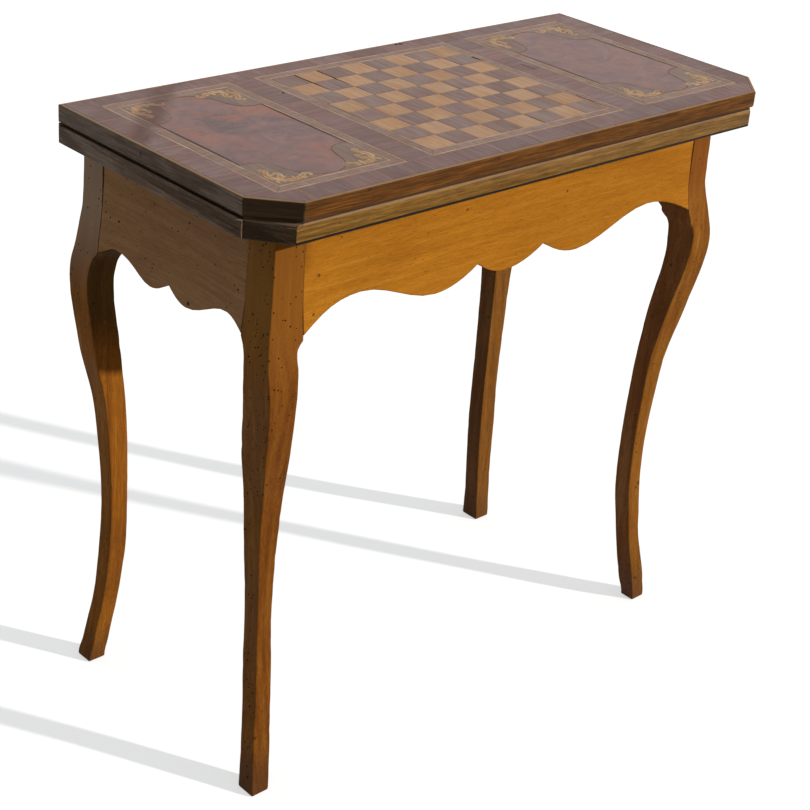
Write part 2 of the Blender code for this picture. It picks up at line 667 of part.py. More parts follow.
def tail_mesh(sign, grow):
    """The dovetails of one end, wider at the tip than at the root, as one group."""
    bm = bmesh.new()
    root = SIDE_PLANE - APRON_THICK - OVERRUN
    tip = SIDE_PLANE - APRON_THICK + TAIL_LENGTH + grow
    spread = (TAIL_END - TAIL_ROOT) / TAIL_LENGTH
    low_y = BACK_POST_FRONT - GATE_GAP - BACK_RAIL_THICK - grow
    high_y = BACK_POST_FRONT - GATE_GAP + (OVERRUN if grow else 0)
    for spot in tail_spots():
        sections = []
        for reach in (root, tip):
            half = (TAIL_ROOT + spread * (reach - SIDE_PLANE + APRON_THICK)) / 2 + grow
            sections.append([
                (sign * reach, low_y, spot - half), (sign * reach, high_y, spot - half),
                (sign * reach, high_y, spot + half), (sign * reach, low_y, spot + half),
            ])
        tail = loft_mesh(sections)
        mesh = bpy.data.meshes.new("tail")
        tail.to_mesh(mesh)
        tail.free()
        bm.from_mesh(mesh)
        bpy.data.meshes.remove(mesh)
    return bm


def make_side_aprons():
    start = FRONT_PLANE + POST + SEAT_GAP
    low, high = tenon_heights(0)
    for side, sign in (("left", -1), ("right", 1)):
        end = BACK_POST_FRONT - (GATE_GAP if side == "left" else SEAT_GAP)
        mesh = apron_mesh(
            start, end, SIDE_APRON_DEPTH, SIDE_SCALLOP, SIDE_SCALLOP_SHARES,
            (f"front_{side}", f"back_{side}"), "x",
            lambda along, out, z, sign=sign: (sign * (SIDE_PLANE + out), along, z),
        )
        apron = object_from(mesh, f"{side}_apron", "apron_walnut", rounded=True)
        near = sign * (SIDE_PLANE - TENON_FROM_FACE)
        far = sign * (SIDE_PLANE - TENON_FROM_FACE - TENON_THICK)
        tenon = tenon_box(start + OVERRUN, start - TENON_LENGTH, low, high, near, far, False)
        boolean(apron, object_from(tenon, f"{side}_apron_front_tenon", None), "UNION")
        boolean(apron, object_from(tail_mesh(sign, SEAT_GAP), f"{side}_apron_sockets", None))


def make_back_rail():
    end = SIDE_PLANE - APRON_THICK - SEAT_GAP
    outer = BACK_POST_FRONT - GATE_GAP
    rail = object_from(
        box_mesh((-end, outer - BACK_RAIL_THICK, LEG_HEIGHT - RAIL_DEPTH), (end, outer, LEG_HEIGHT)),
        "back_rail", "inner_pine",
    )
    for side, sign in (("left", -1), ("right", 1)):
        boolean(rail, object_from(tail_mesh(sign, 0), f"back_rail_tails_{side}", None), "UNION")


def finger_span(i):
    height = RAIL_DEPTH / FINGER_COUNT
    low = LEG_HEIGHT - RAIL_DEPTH + i * height
    return low, low + height


def fly_rail(name, sign, inner_face, own_fingers, axis):
    """One half of the hinged rail: a round end about the pin, hollowed where the other half's fingers lie.

    Both halves are bevelled towards the round end, and the bevels all but meet when the gate is open.
    """
    half = FLY_THICK / 2
    pivot = (GATE_AXIS.x, FLY_MIDDLE)
    shoulder = sign * (SIDE_PLANE - POST - SEAT_GAP)
    neck = 45 - KNUCKLE_EASE_DEGREES
    round_end = arc(pivot, half, -neck if sign > 0 else neck - 180, -2 * sign * (180 - neck), 26)
    bevel_x = round_end[-1][0] + sign * (FLY_MIDDLE + half - round_end[-1][1])
    outline = [(shoulder, FLY_MIDDLE + half), (shoulder, inner_face)]
    if inner_face != FLY_MIDDLE - half:
        step = pivot[0] + sign * (half + 2 * OVERRUN)
        outline += [(step, inner_face), (step, FLY_MIDDLE - half)]
    outline += [(bevel_x, FLY_MIDDLE - half), *round_end, (bevel_x, FLY_MIDDLE + half)]
    rail = object_from(
        prism_mesh(outline, LEG_HEIGHT - RAIL_DEPTH, LEG_HEIGHT), name,
        "leg_walnut" if sign < 0 else "inner_pine",
        origin=Vector((*pivot, LEG_HEIGHT - RAIL_DEPTH)), axis=axis, rounded=True,
    )
    for i in range(FINGER_COUNT):
        if i in own_fingers:
            continue
        low, high = finger_span(i)
        low -= OVERRUN if i == 0 else RUNNING_GAP / 2
        high += OVERRUN if i == FINGER_COUNT - 1 else RUNNING_GAP / 2
        socket = rod_mesh(half + RUNNING_GAP, (*pivot, low), (*pivot, high), PIN_FACETS)
        boolean(rail, object_from(socket, f"{name}_socket_{i}", None))
    run = [(*pivot, z) for z in (LEG_HEIGHT - RAIL_DEPTH - OVERRUN, LEG_HEIGHT + OVERRUN)]
    boolean(rail, object_from(rod_mesh(KNUCKLE_PIN_RADIUS + PIN_GAP, *run, PIN_FACETS), f"{name}_bore", None))
    low, high = tenon_heights(0)
    middle = FLY_MIDDLE
    tenon = tenon_box(
        shoulder - sign * OVERRUN, shoulder + sign * TENON_LENGTH, low, high,
        middle - TENON_THICK / 2, middle + TENON_THICK / 2, True,
    )
    boolean(rail, object_from(tenon, f"{name}_tenon", None), "UNION")


def make_gate(gate):
    inner = [i for i in range(FINGER_COUNT) if i % 2]
    outer = [i for i in range(FINGER_COUNT) if not i % 2]
    fly_rail("fly_rail", -1, FLY_MIDDLE - FLY_THICK / 2, inner, gate)
    fly_rail("fixed_fly_rail", 1, BACK_POST_FRONT - GATE_GAP + SEAT_GAP, outer, None)
    place = (GATE_AXIS.x, FLY_MIDDLE)
    run = [(*place, z) for z in (LEG_HEIGHT - RAIL_DEPTH, LEG_HEIGHT)]
    object_from(rod_mesh(KNUCKLE_PIN_RADIUS, *run, PIN_FACETS), "knuckle_pin", "iron", rounded=True)


def make_leg(name, side, end, plane_y, axis=None):
    """A leg sawn to much the same curve on all four faces. side and end give its corner of the frame."""
    sections = []
    for z in leg_stations():
        (out_x, in_x), (out_y, in_y) = leg_section(name, z)
        x_out, x_in = side * (SIDE_PLANE + out_x), side * (SIDE_PLANE - in_x)
        y_out, y_in = plane_y + end * out_y, plane_y - end * in_y
        sections.append([(x_in, y_in, z), (x_out, y_in, z), (x_out, y_out, z), (x_in, y_out, z)])
    leg = object_from(loft_mesh(sections), f"{name}_leg", "leg_walnut", axis=axis, rounded=True)
    bevel(leg, ARRIS, 2, 60)
    return leg


def mortise(leg, name, start, end, near, far, along_x):
    """The hole for a tenon, larger by the seat gap on every side."""
    low, high = tenon_heights(SEAT_GAP)
    sign = 1 if end > start else -1
    thick_low, thick_high = min(near, far) - SEAT_GAP, max(near, far) + SEAT_GAP
    hole = tenon_box(start - sign * OVERRUN, end + sign * SEAT_GAP, low, high, thick_low, thick_high, along_x)
    boolean(leg, object_from(hole, name, None))


def make_legs(gate):
    side_near, side_far = SIDE_PLANE - TENON_FROM_FACE, SIDE_PLANE - TENON_FROM_FACE - TENON_THICK
    front_near, front_far = FRONT_PLANE + TENON_FROM_FACE, FRONT_PLANE + TENON_FROM_FACE + TENON_THICK
    fly_near, fly_far = FLY_MIDDLE - TENON_THICK / 2, FLY_MIDDLE + TENON_THICK / 2
    side_joint = FRONT_PLANE + POST
    for side, sign in (("left", -1), ("right", 1)):
        leg = make_leg(f"front_{side}", sign, -1, FRONT_PLANE)
        joint = front_joint(side)
        mortise(leg, f"front_{side}_front_mortise", sign * joint, sign * (joint - SEAT_GAP + TENON_LENGTH),
                front_near, front_far, True)
        mortise(leg, f"front_{side}_side_mortise", side_joint, side_joint + SEAT_GAP - TENON_LENGTH,
                sign * side_near, sign * side_far, False)
    rail_joint = SIDE_PLANE - POST
    for side, sign, axis in (("left", -1, gate), ("right", 1, None)):
        leg = make_leg(f"back_{side}", sign, 1, BACK_PLANE, axis)
        mortise(leg, f"back_{side}_rail_mortise", sign * rail_joint, sign * (rail_joint - SEAT_GAP + TENON_LENGTH),
                fly_near, fly_far, True)


def make_blocks():
    """Glue blocks in the four inner corners of the frame, each with the screw that holds the lower leaf."""
    low = LEG_HEIGHT - BLOCK_HEIGHT
    inner_x = SIDE_PLANE - APRON_THICK - SEAT_GAP
    front_y = FRONT_PLANE + APRON_THICK + SEAT_GAP
    back_y = BACK_POST_FRONT - GATE_GAP - BACK_RAIL_THICK - SEAT_GAP
    post_x, post_y = SIDE_PLANE - POST - SEAT_GAP, FRONT_PLANE + POST + SEAT_GAP
    for side, sign in (("left", -1), ("right", 1)):
        front = [
            (sign * post_x, front_y), (sign * (post_x - BLOCK_LEG), front_y), (sign * inner_x, post_y + BLOCK_LEG),
            (sign * inner_x, post_y), (sign * post_x, post_y),
        ]
        back = [
            (sign * inner_x, back_y), (sign * inner_x, back_y - BLOCK_LEG), (sign * (inner_x - BLOCK_LEG), back_y),
        ]
        front_spot = (sign * (post_x - SCREW_INSET), post_y)
        back_spot = (sign * (inner_x - SCREW_INSET), back_y - SCREW_INSET)
        for end, outline, spot in (("front", front, front_spot), ("back", back, back_spot)):
            block = object_from(prism_mesh(outline, low, LEG_HEIGHT), f"{end}_{side}_block", "inner_pine")
            head = low - SCREW_HEAD_HEIGHT - SEAT_GAP
            tip = UNDERSIDE + SCREW_BITE
            screw = object_from(
                rod_mesh(SCREW_HEAD_RADIUS, (*spot, head), (*spot, low - SEAT_GAP), 16),
                f"{end}_{side}_screw", "iron", rounded=True,
            )
            shank = rod_mesh(SCREW_RADIUS, (*spot, head + SCREW_HEAD_HEIGHT / 2), (*spot, tip), 12)
            boolean(screw, object_from(shank, f"{end}_{side}_shank", None), "UNION")
            hole = object_from(
                rod_mesh(SCREW_RADIUS + SEAT_GAP, (*spot, low - OVERRUN), (*spot, tip + SEAT_GAP), 12),
                f"{end}_{side}_screw_hole", None,
            )
            boolean(block, hole)
            boolean(bpy.data.objects["lower_leaf_core"], hole)


clear_scene()
parts = new_collection("games_table")
cutters = new_collection("cutters")
fold_axis = axis_empty("leaf_fold_axis", FOLD_AXIS)
gate_axis = axis_empty("gate_axis", GATE_AXIS)
beds = make_hinges(fold_axis)
make_leaves(fold_axis, beds)
make_marquetry(fold_axis)
make_front_apron()
make_side_aprons()
make_back_rail()
make_gate(gate_axis)
make_legs(gate_axis)
make_blocks()
bpy.context.view_layer.update()
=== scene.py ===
import json
import math
import random

import bmesh
import bpy
from mathutils import Matrix, Vector, geometry, noise


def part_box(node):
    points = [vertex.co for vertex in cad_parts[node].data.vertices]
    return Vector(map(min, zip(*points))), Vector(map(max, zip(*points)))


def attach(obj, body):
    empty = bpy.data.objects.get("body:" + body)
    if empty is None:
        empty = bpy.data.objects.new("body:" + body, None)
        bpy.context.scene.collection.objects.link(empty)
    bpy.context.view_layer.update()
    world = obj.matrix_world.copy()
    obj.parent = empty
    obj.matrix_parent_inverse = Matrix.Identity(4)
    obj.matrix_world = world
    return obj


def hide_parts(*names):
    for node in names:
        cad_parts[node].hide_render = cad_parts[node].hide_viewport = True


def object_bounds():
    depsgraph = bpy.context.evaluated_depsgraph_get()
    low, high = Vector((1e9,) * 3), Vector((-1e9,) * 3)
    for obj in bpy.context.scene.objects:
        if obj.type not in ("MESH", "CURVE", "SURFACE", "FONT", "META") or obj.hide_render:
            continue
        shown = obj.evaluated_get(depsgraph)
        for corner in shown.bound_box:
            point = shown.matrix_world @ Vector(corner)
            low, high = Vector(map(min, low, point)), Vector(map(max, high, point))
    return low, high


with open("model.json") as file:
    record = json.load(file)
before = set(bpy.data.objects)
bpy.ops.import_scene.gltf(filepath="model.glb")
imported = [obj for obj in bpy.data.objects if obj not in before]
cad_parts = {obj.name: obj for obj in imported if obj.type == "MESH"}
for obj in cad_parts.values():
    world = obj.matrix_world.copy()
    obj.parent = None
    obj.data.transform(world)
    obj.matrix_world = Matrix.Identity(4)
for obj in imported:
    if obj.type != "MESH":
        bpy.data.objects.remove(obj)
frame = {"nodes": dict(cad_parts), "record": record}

cadBox = [list(corner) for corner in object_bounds()]
nodes = frame["nodes"]
scene = bpy.context.scene
kneeTop = 0.575  # height where the legs' square posts begin
weldGap = 0.000004
print("games table: frame loaded,", len(nodes), "nodes")


# node trees, written as sums

class Flow:  # a node's output, which adds, multiplies and compares like a number
    def __init__(self, socket):
        self.socket = socket
        self.tree = socket.id_data

    def calc(self, operation, *others):
        return give(self.tree, "ShaderNodeMath", dict(enumerate((self, *others))), operation=operation)

    def __add__(self, other):
        return self.calc("ADD", other)

    def __sub__(self, other):
        return self.calc("SUBTRACT", other)

    def __rsub__(self, other):
        return give(self.tree, "ShaderNodeMath", {0: other, 1: self}, operation="SUBTRACT")

    def __mul__(self, other):
        return self.calc("MULTIPLY", other)

    def __gt__(self, other):
        return self.calc("GREATER_THAN", other)

    def __lt__(self, other):
        return self.calc("LESS_THAN", other)

    def __abs__(self):
        return self.calc("ABSOLUTE")


def feed(node, feeds):  # sockets take values or other nodes' outputs
    for key, value in feeds.items():
        if isinstance(value, Flow):
            value.tree.links.new(value.socket, node.inputs[key])
        else:
            node.inputs[key].default_value = value


def put(tree, kind, feeds=None, **settings):
    node = tree.nodes.new(kind)
    for key, value in settings.items():
        setattr(node, key, value)
    feed(node, feeds or {})
    return node


def give(tree, kind, feeds=None, out=0, **settings):
    return Flow(put(tree, kind, feeds, **settings).outputs[out])


def vectors(operation, a, b=(0, 0, 0), out=0):
    return give(a.tree, "ShaderNodeVectorMath", {0: a, 1: b}, out, operation=operation)


def scaled(vector, factors):
    return vectors("MULTIPLY", vector, factors)


def split(vector):
    return [Flow(socket) for socket in put(vector.tree, "ShaderNodeSeparateXYZ", {0: vector}).outputs]


def joined(tree, x=0.0, y=0.0, z=0.0):
    return give(tree, "ShaderNodeCombineXYZ", {0: x, 1: y, 2: z})


def spread(value, low, high, toLow=0.0, toHigh=1.0):
    feeds = {"Value": value, "From Min": low, "From Max": high, "To Min": toLow, "To Max": toHigh}
    return give(value.tree, "ShaderNodeMapRange", feeds, interpolation_type="SMOOTHSTEP")


def cloudy(vector, scale, detail=3.0, rough=0.55, twist=0.0, out=0):
    feeds = {"Vector": vector, "Scale": scale, "Detail": detail, "Roughness": rough, "Distortion": twist}
    return give(vector.tree, "ShaderNodeTexNoise", feeds, out)


def tint(colour):  # screen colour, 0 to 255, as the linear colour that a shader takes
    linear = []
    for value in colour:
        value = value / 255
        linear.append(value / 12.92 if value <= 0.04045 else ((value + 0.055) / 1.055) ** 2.4)
    return (*linear, 1)


def layer(under, share, over, way="MIX"):  # colours are outputs or screen colours
    tree = (share if isinstance(share, Flow) else under).tree
    under, over = (colour if isinstance(colour, Flow) else tint(colour) for colour in (under, over))
    return give(tree, "ShaderNodeMix", {0: share, 6: under, 7: over}, 2, data_type="RGBA", blend_type=way)


def shaded(colour, grey):
    tone = give(grey.tree, "ShaderNodeCombineColor", {0: grey, 1: grey, 2: grey})
    return layer(colour, 1.0, tone, "MULTIPLY")


def tones(share, colours, middle):
    ramp = put(share.tree, "ShaderNodeValToRGB", {0: share})
    ramp.color_ramp.elements.new(0.5)
    for element, place, colour in zip(ramp.color_ramp.elements, (0.0, middle, 1.0), colours):
        element.position = place
        element.color = tint(colour)
    return Flow(ramp.outputs[0])


def newFinish(name):
    material = bpy.data.materials.new(name)
    material.use_nodes = True
    tree = material.node_tree
    tree.nodes.clear()
    shader = put(tree, "ShaderNodeBsdfPrincipled")
    put(tree, "ShaderNodeOutputMaterial", {"Surface": Flow(shader.outputs[0])})
    return material, tree, shader


def bumpy(shader, strength, depth, height, **more):
    feeds = {"Strength": strength, "Distance": depth, "Height": height, **more}
    feed(shader, {"Normal": give(height.tree, "ShaderNodeBump", feeds)})


# wood

# the line of the painted dark reflection across the top's left end
paintedReflectionLine = {"slope": (-0.715, 0.699), "wide": (0.004, 0.022), "endsAt": (-0.24, -0.20)}
plainWood = {
    "along": "x", "turn": 0, "pith": (0.0, 0.04, -0.09),
    "tones": ((70, 40, 22), (120, 74, 34), (160, 108, 52)),
    "streak": (70, 2.2), "rings": 110, "ringShare": 0.45, "contrast": (0.34, 0.66), "wander": 0.014,
    "cloud": (9, 0.5, (92, 60, 34)), "fleck": 0.35, "pore": 0.4, "bump": 0.25,
    "wornColour": (178, 138, 92), "worn": 0.5, "wornWide": 0.0022, "topColour": None, "topShare": 0.0,
    "lowColour": None, "lowFrom": 0.02, "lowTo": 0.09, "lowShare": 0.7,
    "highColour": None, "highFrom": 0.55, "highTo": 0.60, "highShare": 0.5, "highSide": False,
    "darkReflection": 0.0, "toneSpread": 0.0, "paintedSideShading": None, "waver": 0.06, "gloss": 0.2, "rough": (0.45, 0.62),
    "specks": 0.0, "joints": (), "paintedShadowUnderFrame": None,
}


def paintedDarkReflection(colour, x, y, wander, line, share, tone):  # painted reflection: a dark reddish streak across the left end of the top, standing in for a dark reflection that takes the sheen away there
    off = abs(x * paintedReflectionLine["slope"][0] + y * paintedReflectionLine["slope"][1] + wander - line)
    streak = spread(off, *paintedReflectionLine["wide"], 1.0, 0.0) * spread(x, *paintedReflectionLine["endsAt"], 1.0, 0.0)
    return layer(colour, streak * share, tone)


def woodFinish(name, **changes):
    wood = dict(plainWood, **changes)
    material, tree, shader = newFinish(name)
    place = put(tree, "ShaderNodeTexCoord")
    whole = Flow(place.outputs["Object"])
    x, y, z = split(whole)
    facing = split(Flow(place.outputs["Normal"]))
    where = Flow(place.outputs["UV"]) if wood["along"] == "uv" else whole  # veneer has its own grain map
    if wood["toneSpread"]:
        piece = give(tree, "ShaderNodeAttribute", None, "Fac", attribute_name="tone")
        where = vectors("ADD", where, joined(tree, piece * 3.7, 0.0, piece * 9.1))
    if wood["turn"]:
        turn = (0, 0, math.radians(wood["turn"]))
        where = give(tree, "ShaderNodeMapping", {"Vector": where, "Rotation": turn})
    axis = {"x": 0, "y": 1, "z": 2, "uv": 1}[wood["along"]]

    def stretched(vector, along, across):
        return scaled(vector, tuple(along if i == axis else across for i in range(3)))

    drift = vectors("SUBTRACT", cloudy(stretched(where, 5, 14), 1, 2, out=1), (0.5, 0.5, 0.5))
    bent = vectors("ADD", where, scaled(drift, (wood["wander"],) * 3))
    across, along = wood["streak"]
    streaks = cloudy(stretched(bent, along, across), 1, 6, 0.62)
    ring = vectors("LENGTH", stretched(vectors("SUBTRACT", bent, wood["pith"]), 0, 1), out="Value")
    rings = cloudy(joined(tree, ring * wood["rings"]), 1, 4, 0.6)
    figure = give(tree, "ShaderNodeMix", {0: wood["ringShare"], 2: streaks, 3: rings})
    colour = tones(spread(figure, *wood["contrast"]), wood["tones"], 0.52)

    scale, share, cloudColour = wood["cloud"]
    clouds = cloudy(whole if wood["along"] == "uv" else stretched(whole, 0.55, 1), scale, 4, 0.6, 0.6)
    colour = layer(colour, spread(clouds, 0.42, 0.72) * share, cloudColour)
    fibres = cloudy(stretched(bent, 45, 1300), 1, 3, 0.7)
    colour = shaded(colour, spread(fibres, 0.3, 0.7, 1 - wood["fleck"], 1 + wood["fleck"] * 0.5))
    pores = spread(cloudy(stretched(bent, 160, 1900), 1, 2, 0.5), 0.63, 0.72)
    colour = layer(colour, pores * wood["pore"], (30, 18, 12))
    if wood["toneSpread"]:  # each veneer piece a little lighter or darker
        colour = shaded(colour, piece.calc("MULTIPLY_ADD", 2 * wood["toneSpread"], 1 - wood["toneSpread"]))
    if wood["specks"]:  # small knots and ink-dark spots
        spots = give(tree, "ShaderNodeTexVoronoi", {"Vector": whole, "Scale": 55}, "Distance")
        reach = spread(cloudy(whole, 31, 1), 0.5, 0.72, 0.0, 0.16)
        colour = layer(colour, (spots < reach) * wood["specks"], (34, 20, 12))

    height = z + clouds.calc("MULTIPLY_ADD", wood["waver"], -wood["waver"] / 2)
    # darker towards the bottom: dirt on the legs' feet, painted shade along the leaf edgings' lower edges
    if wood["lowColour"]:
        foot = spread(height, wood["lowFrom"], wood["lowTo"], wood["lowShare"], 0.0)
        colour = layer(colour, foot, wood["lowColour"])
    # the upper part in another tone: painted shade at the aprons' tops and in the leaves' gap, a painted
    # reflection on the back left post, a different tone on the front posts
    if wood["highColour"]:
        head = spread(height, wood["highFrom"], wood["highTo"], 0.0, wood["highShare"])
        if wood["highSide"]:  # only on the face towards the left, where it is a pale painted reflection of the sky
            head = head * (facing[0] < -0.5)
        colour = layer(colour, head, wood["highColour"])
    if wood["topColour"]:  # the upward face of an edging, rubbed pale
        rubbed = spread(clouds, 0.25, 0.55, wood["topShare"] * 0.65, wood["topShare"])
        colour = layer(colour, spread(facing[2], 0.35, 0.8) * rubbed, wood["topColour"])
    # painted reflection: a dark streak where the sheen is missing
    if wood["darkReflection"]:
        colour = paintedDarkReflection(colour, x, y, clouds * 0.03, 0.308, wood["darkReflection"], (80, 30, 5))
    for way, line in wood["joints"]:  # dirt in the joint between a post and an apron
        seam = spread(abs((x, y)[way] - line), 0.0005, 0.0011, 0.9, 0.0) * (z > kneeTop)
        seam = seam * (abs(facing[1 - way]) > 0.5)
        seam = seam * spread(cloudy(whole, 150, 3), 0.3, 0.5, 0.35, 1.0)
        colour = layer(colour, seam, (24, 15, 9))
    if wood["paintedShadowUnderFrame"]:  # painted shadow: the front face darkened under the frame, where the frame's shadow falls
        under = spread(facing[1], -0.85, -0.5, 1.0, 0.0) * spread(z, 0.425, 0.495)
        colour = layer(colour, under, wood["paintedShadowUnderFrame"], "MULTIPLY")
    if wood["paintedSideShading"]:  # painted light and shade: the faces towards the ends tinted, mostly lighter and bluer, for the cool light on the shaded sides
        colour = layer(colour, spread(abs(facing[0]), 0.5, 0.85), wood["paintedSideShading"], "MULTIPLY")

    rounded = give(tree, "ShaderNodeBevel", {"Radius": wood["wornWide"]}, samples=6)
    plain = give(tree, "ShaderNodeNewGeometry", None, "Normal")
    edge = spread(vectors("DOT_PRODUCT", rounded, plain, "Value"), 0.80, 0.985, 1.0, 0.0)
    edge = edge * spread(cloudy(whole, 38, 4, 0.7), 0.36, 0.6, 0.15, 1.0)
    if wood["lowColour"]:  # the dark bottom band lies over the rubbed arris: dirt on the legs, painted shade on the leaf edgings
        edge = edge * (1.0 - foot)
    # the painted shade and grime in the leaves' gap covers the rubbed arris
    if wood["highColour"] and wood["highShare"] > 0.8:
        edge = edge * (1.0 - head)
    colour = layer(colour, edge * wood["worn"], wood["wornColour"])
    rough = spread(clouds, 0.3, 0.7, *wood["rough"]) + fibres * 0.08
    feed(shader, {"Base Color": colour, "Roughness": rough, "Specular IOR Level": wood["gloss"]})
    bumpy(shader, wood["bump"], 0.0004, fibres * 0.5 - pores * 0.6 + clouds * 2.0, Normal=rounded)
    return material


def paint(material, *names):
    for name in names:
        mesh = nodes[name].data
        mesh.materials.clear()
        mesh.materials.append(material)


slotOf = {}
for entry in frame["record"]["materials"]:
    for name in entry.get("nodes", []):
        slotOf[name] = entry["slot"]
for name, node in nodes.items():
    if name not in slotOf and node.data.materials:
        slotOf[name] = node.data.materials[0].name.split(".")[0]

# solid walnut: edgings, aprons, legs

edgeWood = {
    # the ends' tones, greyer than the long edgings', are in part painted light: the cool light on the shaded
    # ends
    "upper": {"long": ((62, 34, 12), (108, 64, 18), (142, 92, 34)),
              "end": ((92, 74, 61), (126, 107, 93), (151, 130, 112)),
              "corner": ((30, 18, 9), (50, 34, 17), (70, 50, 26))},
    "lower": {"long": ((98, 64, 26), (136, 96, 38), (164, 124, 58)),
              "end": ((90, 71, 56), (128, 106, 88), (158, 134, 110)),
              "corner": ((24, 16, 8), (44, 32, 16), (66, 48, 24))},
    "common": {"streak": (380, 13), "rings": 420, "ringShare": 0.2, "contrast": (0.24, 0.76),
               "cloud": (22, 0.5, (70, 46, 30)), "fleck": 0.5, "wander": 0.004, "worn": 0.7,
               "wornWide": 0.0013, "topColour": (164, 130, 98), "gloss": 0.09, "waver": 0.001, "specks": 0.5},
    # painted shade, with some grime: the upper edging darkens along its lower edge, in the gap between the
    # leaves
    "upperWax": {"lowColour": (22, 14, 9), "lowFrom": 0.7304, "lowTo": 0.7312, "lowShare": 0.9},
    # painted shade: a dark line along the bottom of the lower edging's front, for the shadow under the leaf
    "lowerWax": {"lowColour": (14, 9, 6), "lowFrom": 0.7093, "lowTo": 0.7098},
    # painted shade, with some grime, at the top of the lower edging's ends and back, in the gap between the
    # leaves
    "gapShadeAndGrime": {"highColour": (26, 17, 11), "highShare": 0.9}, "gapShadeDeep": 0.0007,
    "gapShadeFrom": {"left": 0.7260, "right": 0.7260, "back": 0.7280},
    # the lower edging's top ledge, rubbed pale, its share per side following how much light reaches it:
    # partly painted light
    "lowerRub": {"front": 0.85, "left_corner": 0.35, "right_corner": 0.35},
}
sides = {"front": ("x", 0), "back": ("x", 0), "left": ("y", 0), "right": ("y", 0),
         "left_corner": ("x", 45.7), "right_corner": ("x", -45.7)}
for leaf in ("upper", "lower"):
    for side, (along, turn) in sides.items():
        look = dict(edgeWood["common"], along=along, turn=turn, **edgeWood[leaf + "Wax"])
        if leaf == "upper":
            look["topShare"] = 0.92
        else:
            look["lowShare"] = 0.97 if side == "front" else 0.0
            look["topShare"] = edgeWood["lowerRub"].get(side, 0.0)
            # painted shade and grime in the gap between the leaves
            if side in edgeWood["gapShadeFrom"]:
                start = edgeWood["gapShadeFrom"][side]
                look.update(edgeWood["gapShadeAndGrime"], highFrom=start, highTo=start + edgeWood["gapShadeDeep"])
        kind = "corner" if "corner" in side else "end" if side in ("left", "right") else "long"
        look["tones"] = edgeWood[leaf][kind]
        look["wornColour"] = (196, 160, 112) if side in ("front", "back") else (150, 128, 104)
        paint(woodFinish(f"{leaf}LeafEdge_{side}", **look), f"{leaf}_leaf_lipping_{side}")

# painted shade: the aprons darken towards their tops, under the leaf's overhang
apronWood = {
    "front": {"along": "x", "tones": ((166, 102, 22), (188, 119, 28), (204, 138, 46)), "specks": 0.6,
              "cloud": (8, 0.45, (166, 102, 26)), "highColour": (120, 74, 26), "highShare": 0.5},
    # the side aprons' walnut, greyer and bluer than the front's, is in part painted light: the cool light on
    # the shaded sides
    "side": {"along": "y", "tones": ((145, 102, 65), (176, 129, 86), (194, 149, 108)), "specks": 1.0,
             "cloud": (9, 0.45, (148, 108, 84)), "highColour": (96, 70, 50), "highShare": 0.4,
             "joints": ((1, -0.108), (1, 0.1502))},
    "common": {"streak": (150, 4.5), "rings": 90, "ringShare": 0.25, "contrast": (0.08, 0.92),
               "wander": 0.008, "wornColour": (150, 100, 46), "worn": 0.3, "fleck": 0.22, "pore": 0.7,
               "gloss": 0.06, "rough": (0.5, 0.68), "highFrom": 0.685, "highTo": 0.712},
}
paint(woodFinish("frontApronWalnut", **apronWood["common"], **apronWood["front"]), "front_apron")
paint(woodFinish("sideApronWalnut", **apronWood["common"], **apronWood["side"]), "left_apron", "right_apron")

# each leg's faces towards the ends carry painted light and shade for the cool light on the shaded sides
legWood = {
    "common": {"along": "z", "streak": (110, 3.2), "rings": 120, "ringShare": 0.3, "contrast": (0.2, 0.8),
               "wander": 0.008, "pith": (0.02, 0.05, 0), "fleck": 0.34, "pore": 0.6, "worn": 0.3,
               "wornColour": (156, 106, 58), "lowColour": (62, 42, 28), "lowFrom": 0.004, "lowTo": 0.075,
               "gloss": 0.06, "rough": (0.48, 0.66), "specks": 0.6},
    "front_left_leg": {"tones": ((96, 50, 12), (130, 74, 19), (154, 97, 32)),
                       "cloud": (10, 0.4, (102, 56, 14)),
                       "paintedSideShading": (262, 285, 345), "lowShare": 0.55, "joints": ((0, -0.3034), (1, -0.108)),
                       "highColour": (156, 98, 32), "highFrom": 0.5, "highTo": 0.62, "highShare": 0.5},
    "front_right_leg": {"tones": ((106, 58, 13), (152, 94, 28), (174, 117, 42)),
                        "lowShare": 0.5, "lowTo": 0.12, "cloud": (10, 0.4, (118, 66, 20)),
                        "paintedSideShading": (262, 268, 410), "joints": ((0, 0.3136),),
                        "highColour": (140, 78, 26), "highFrom": 0.56, "highTo": 0.66, "highShare": 0.6},
    "back_left_leg": {"tones": ((112, 62, 18), (156, 92, 25), (182, 120, 42)),
                      "cloud": (9, 0.4, (118, 70, 26)),
                      "paintedSideShading": (250, 258, 282), "lowShare": 0.5,
                      # painted shadow under the frame on the front face
                      "joints": ((1, 0.1502),), "paintedShadowUnderFrame": (170, 190, 235), "highSide": True,
                      # a pale painted reflection of the sky on the post's left face
                      "highColour": (182, 152, 118), "highFrom": 0.50, "highTo": 0.64, "highShare": 0.7},
    "back_right_leg": {"tones": ((104, 62, 22), (143, 90, 33), (162, 112, 48)), "lowShare": 0.35,
                       "cloud": (10, 0.4, (106, 66, 28)), "paintedSideShading": (222, 226, 300)},
}
for name in ("front_left_leg", "front_right_leg", "back_left_leg", "back_right_leg"):
    first, second = name.split("_")[:2]
    paint(woodFinish(f"{first}{second.title()}LegWalnut", **dict(legWood["common"], **legWood[name])), name)
print("edgings, aprons and legs finished")

# pale inner wood, brass and iron

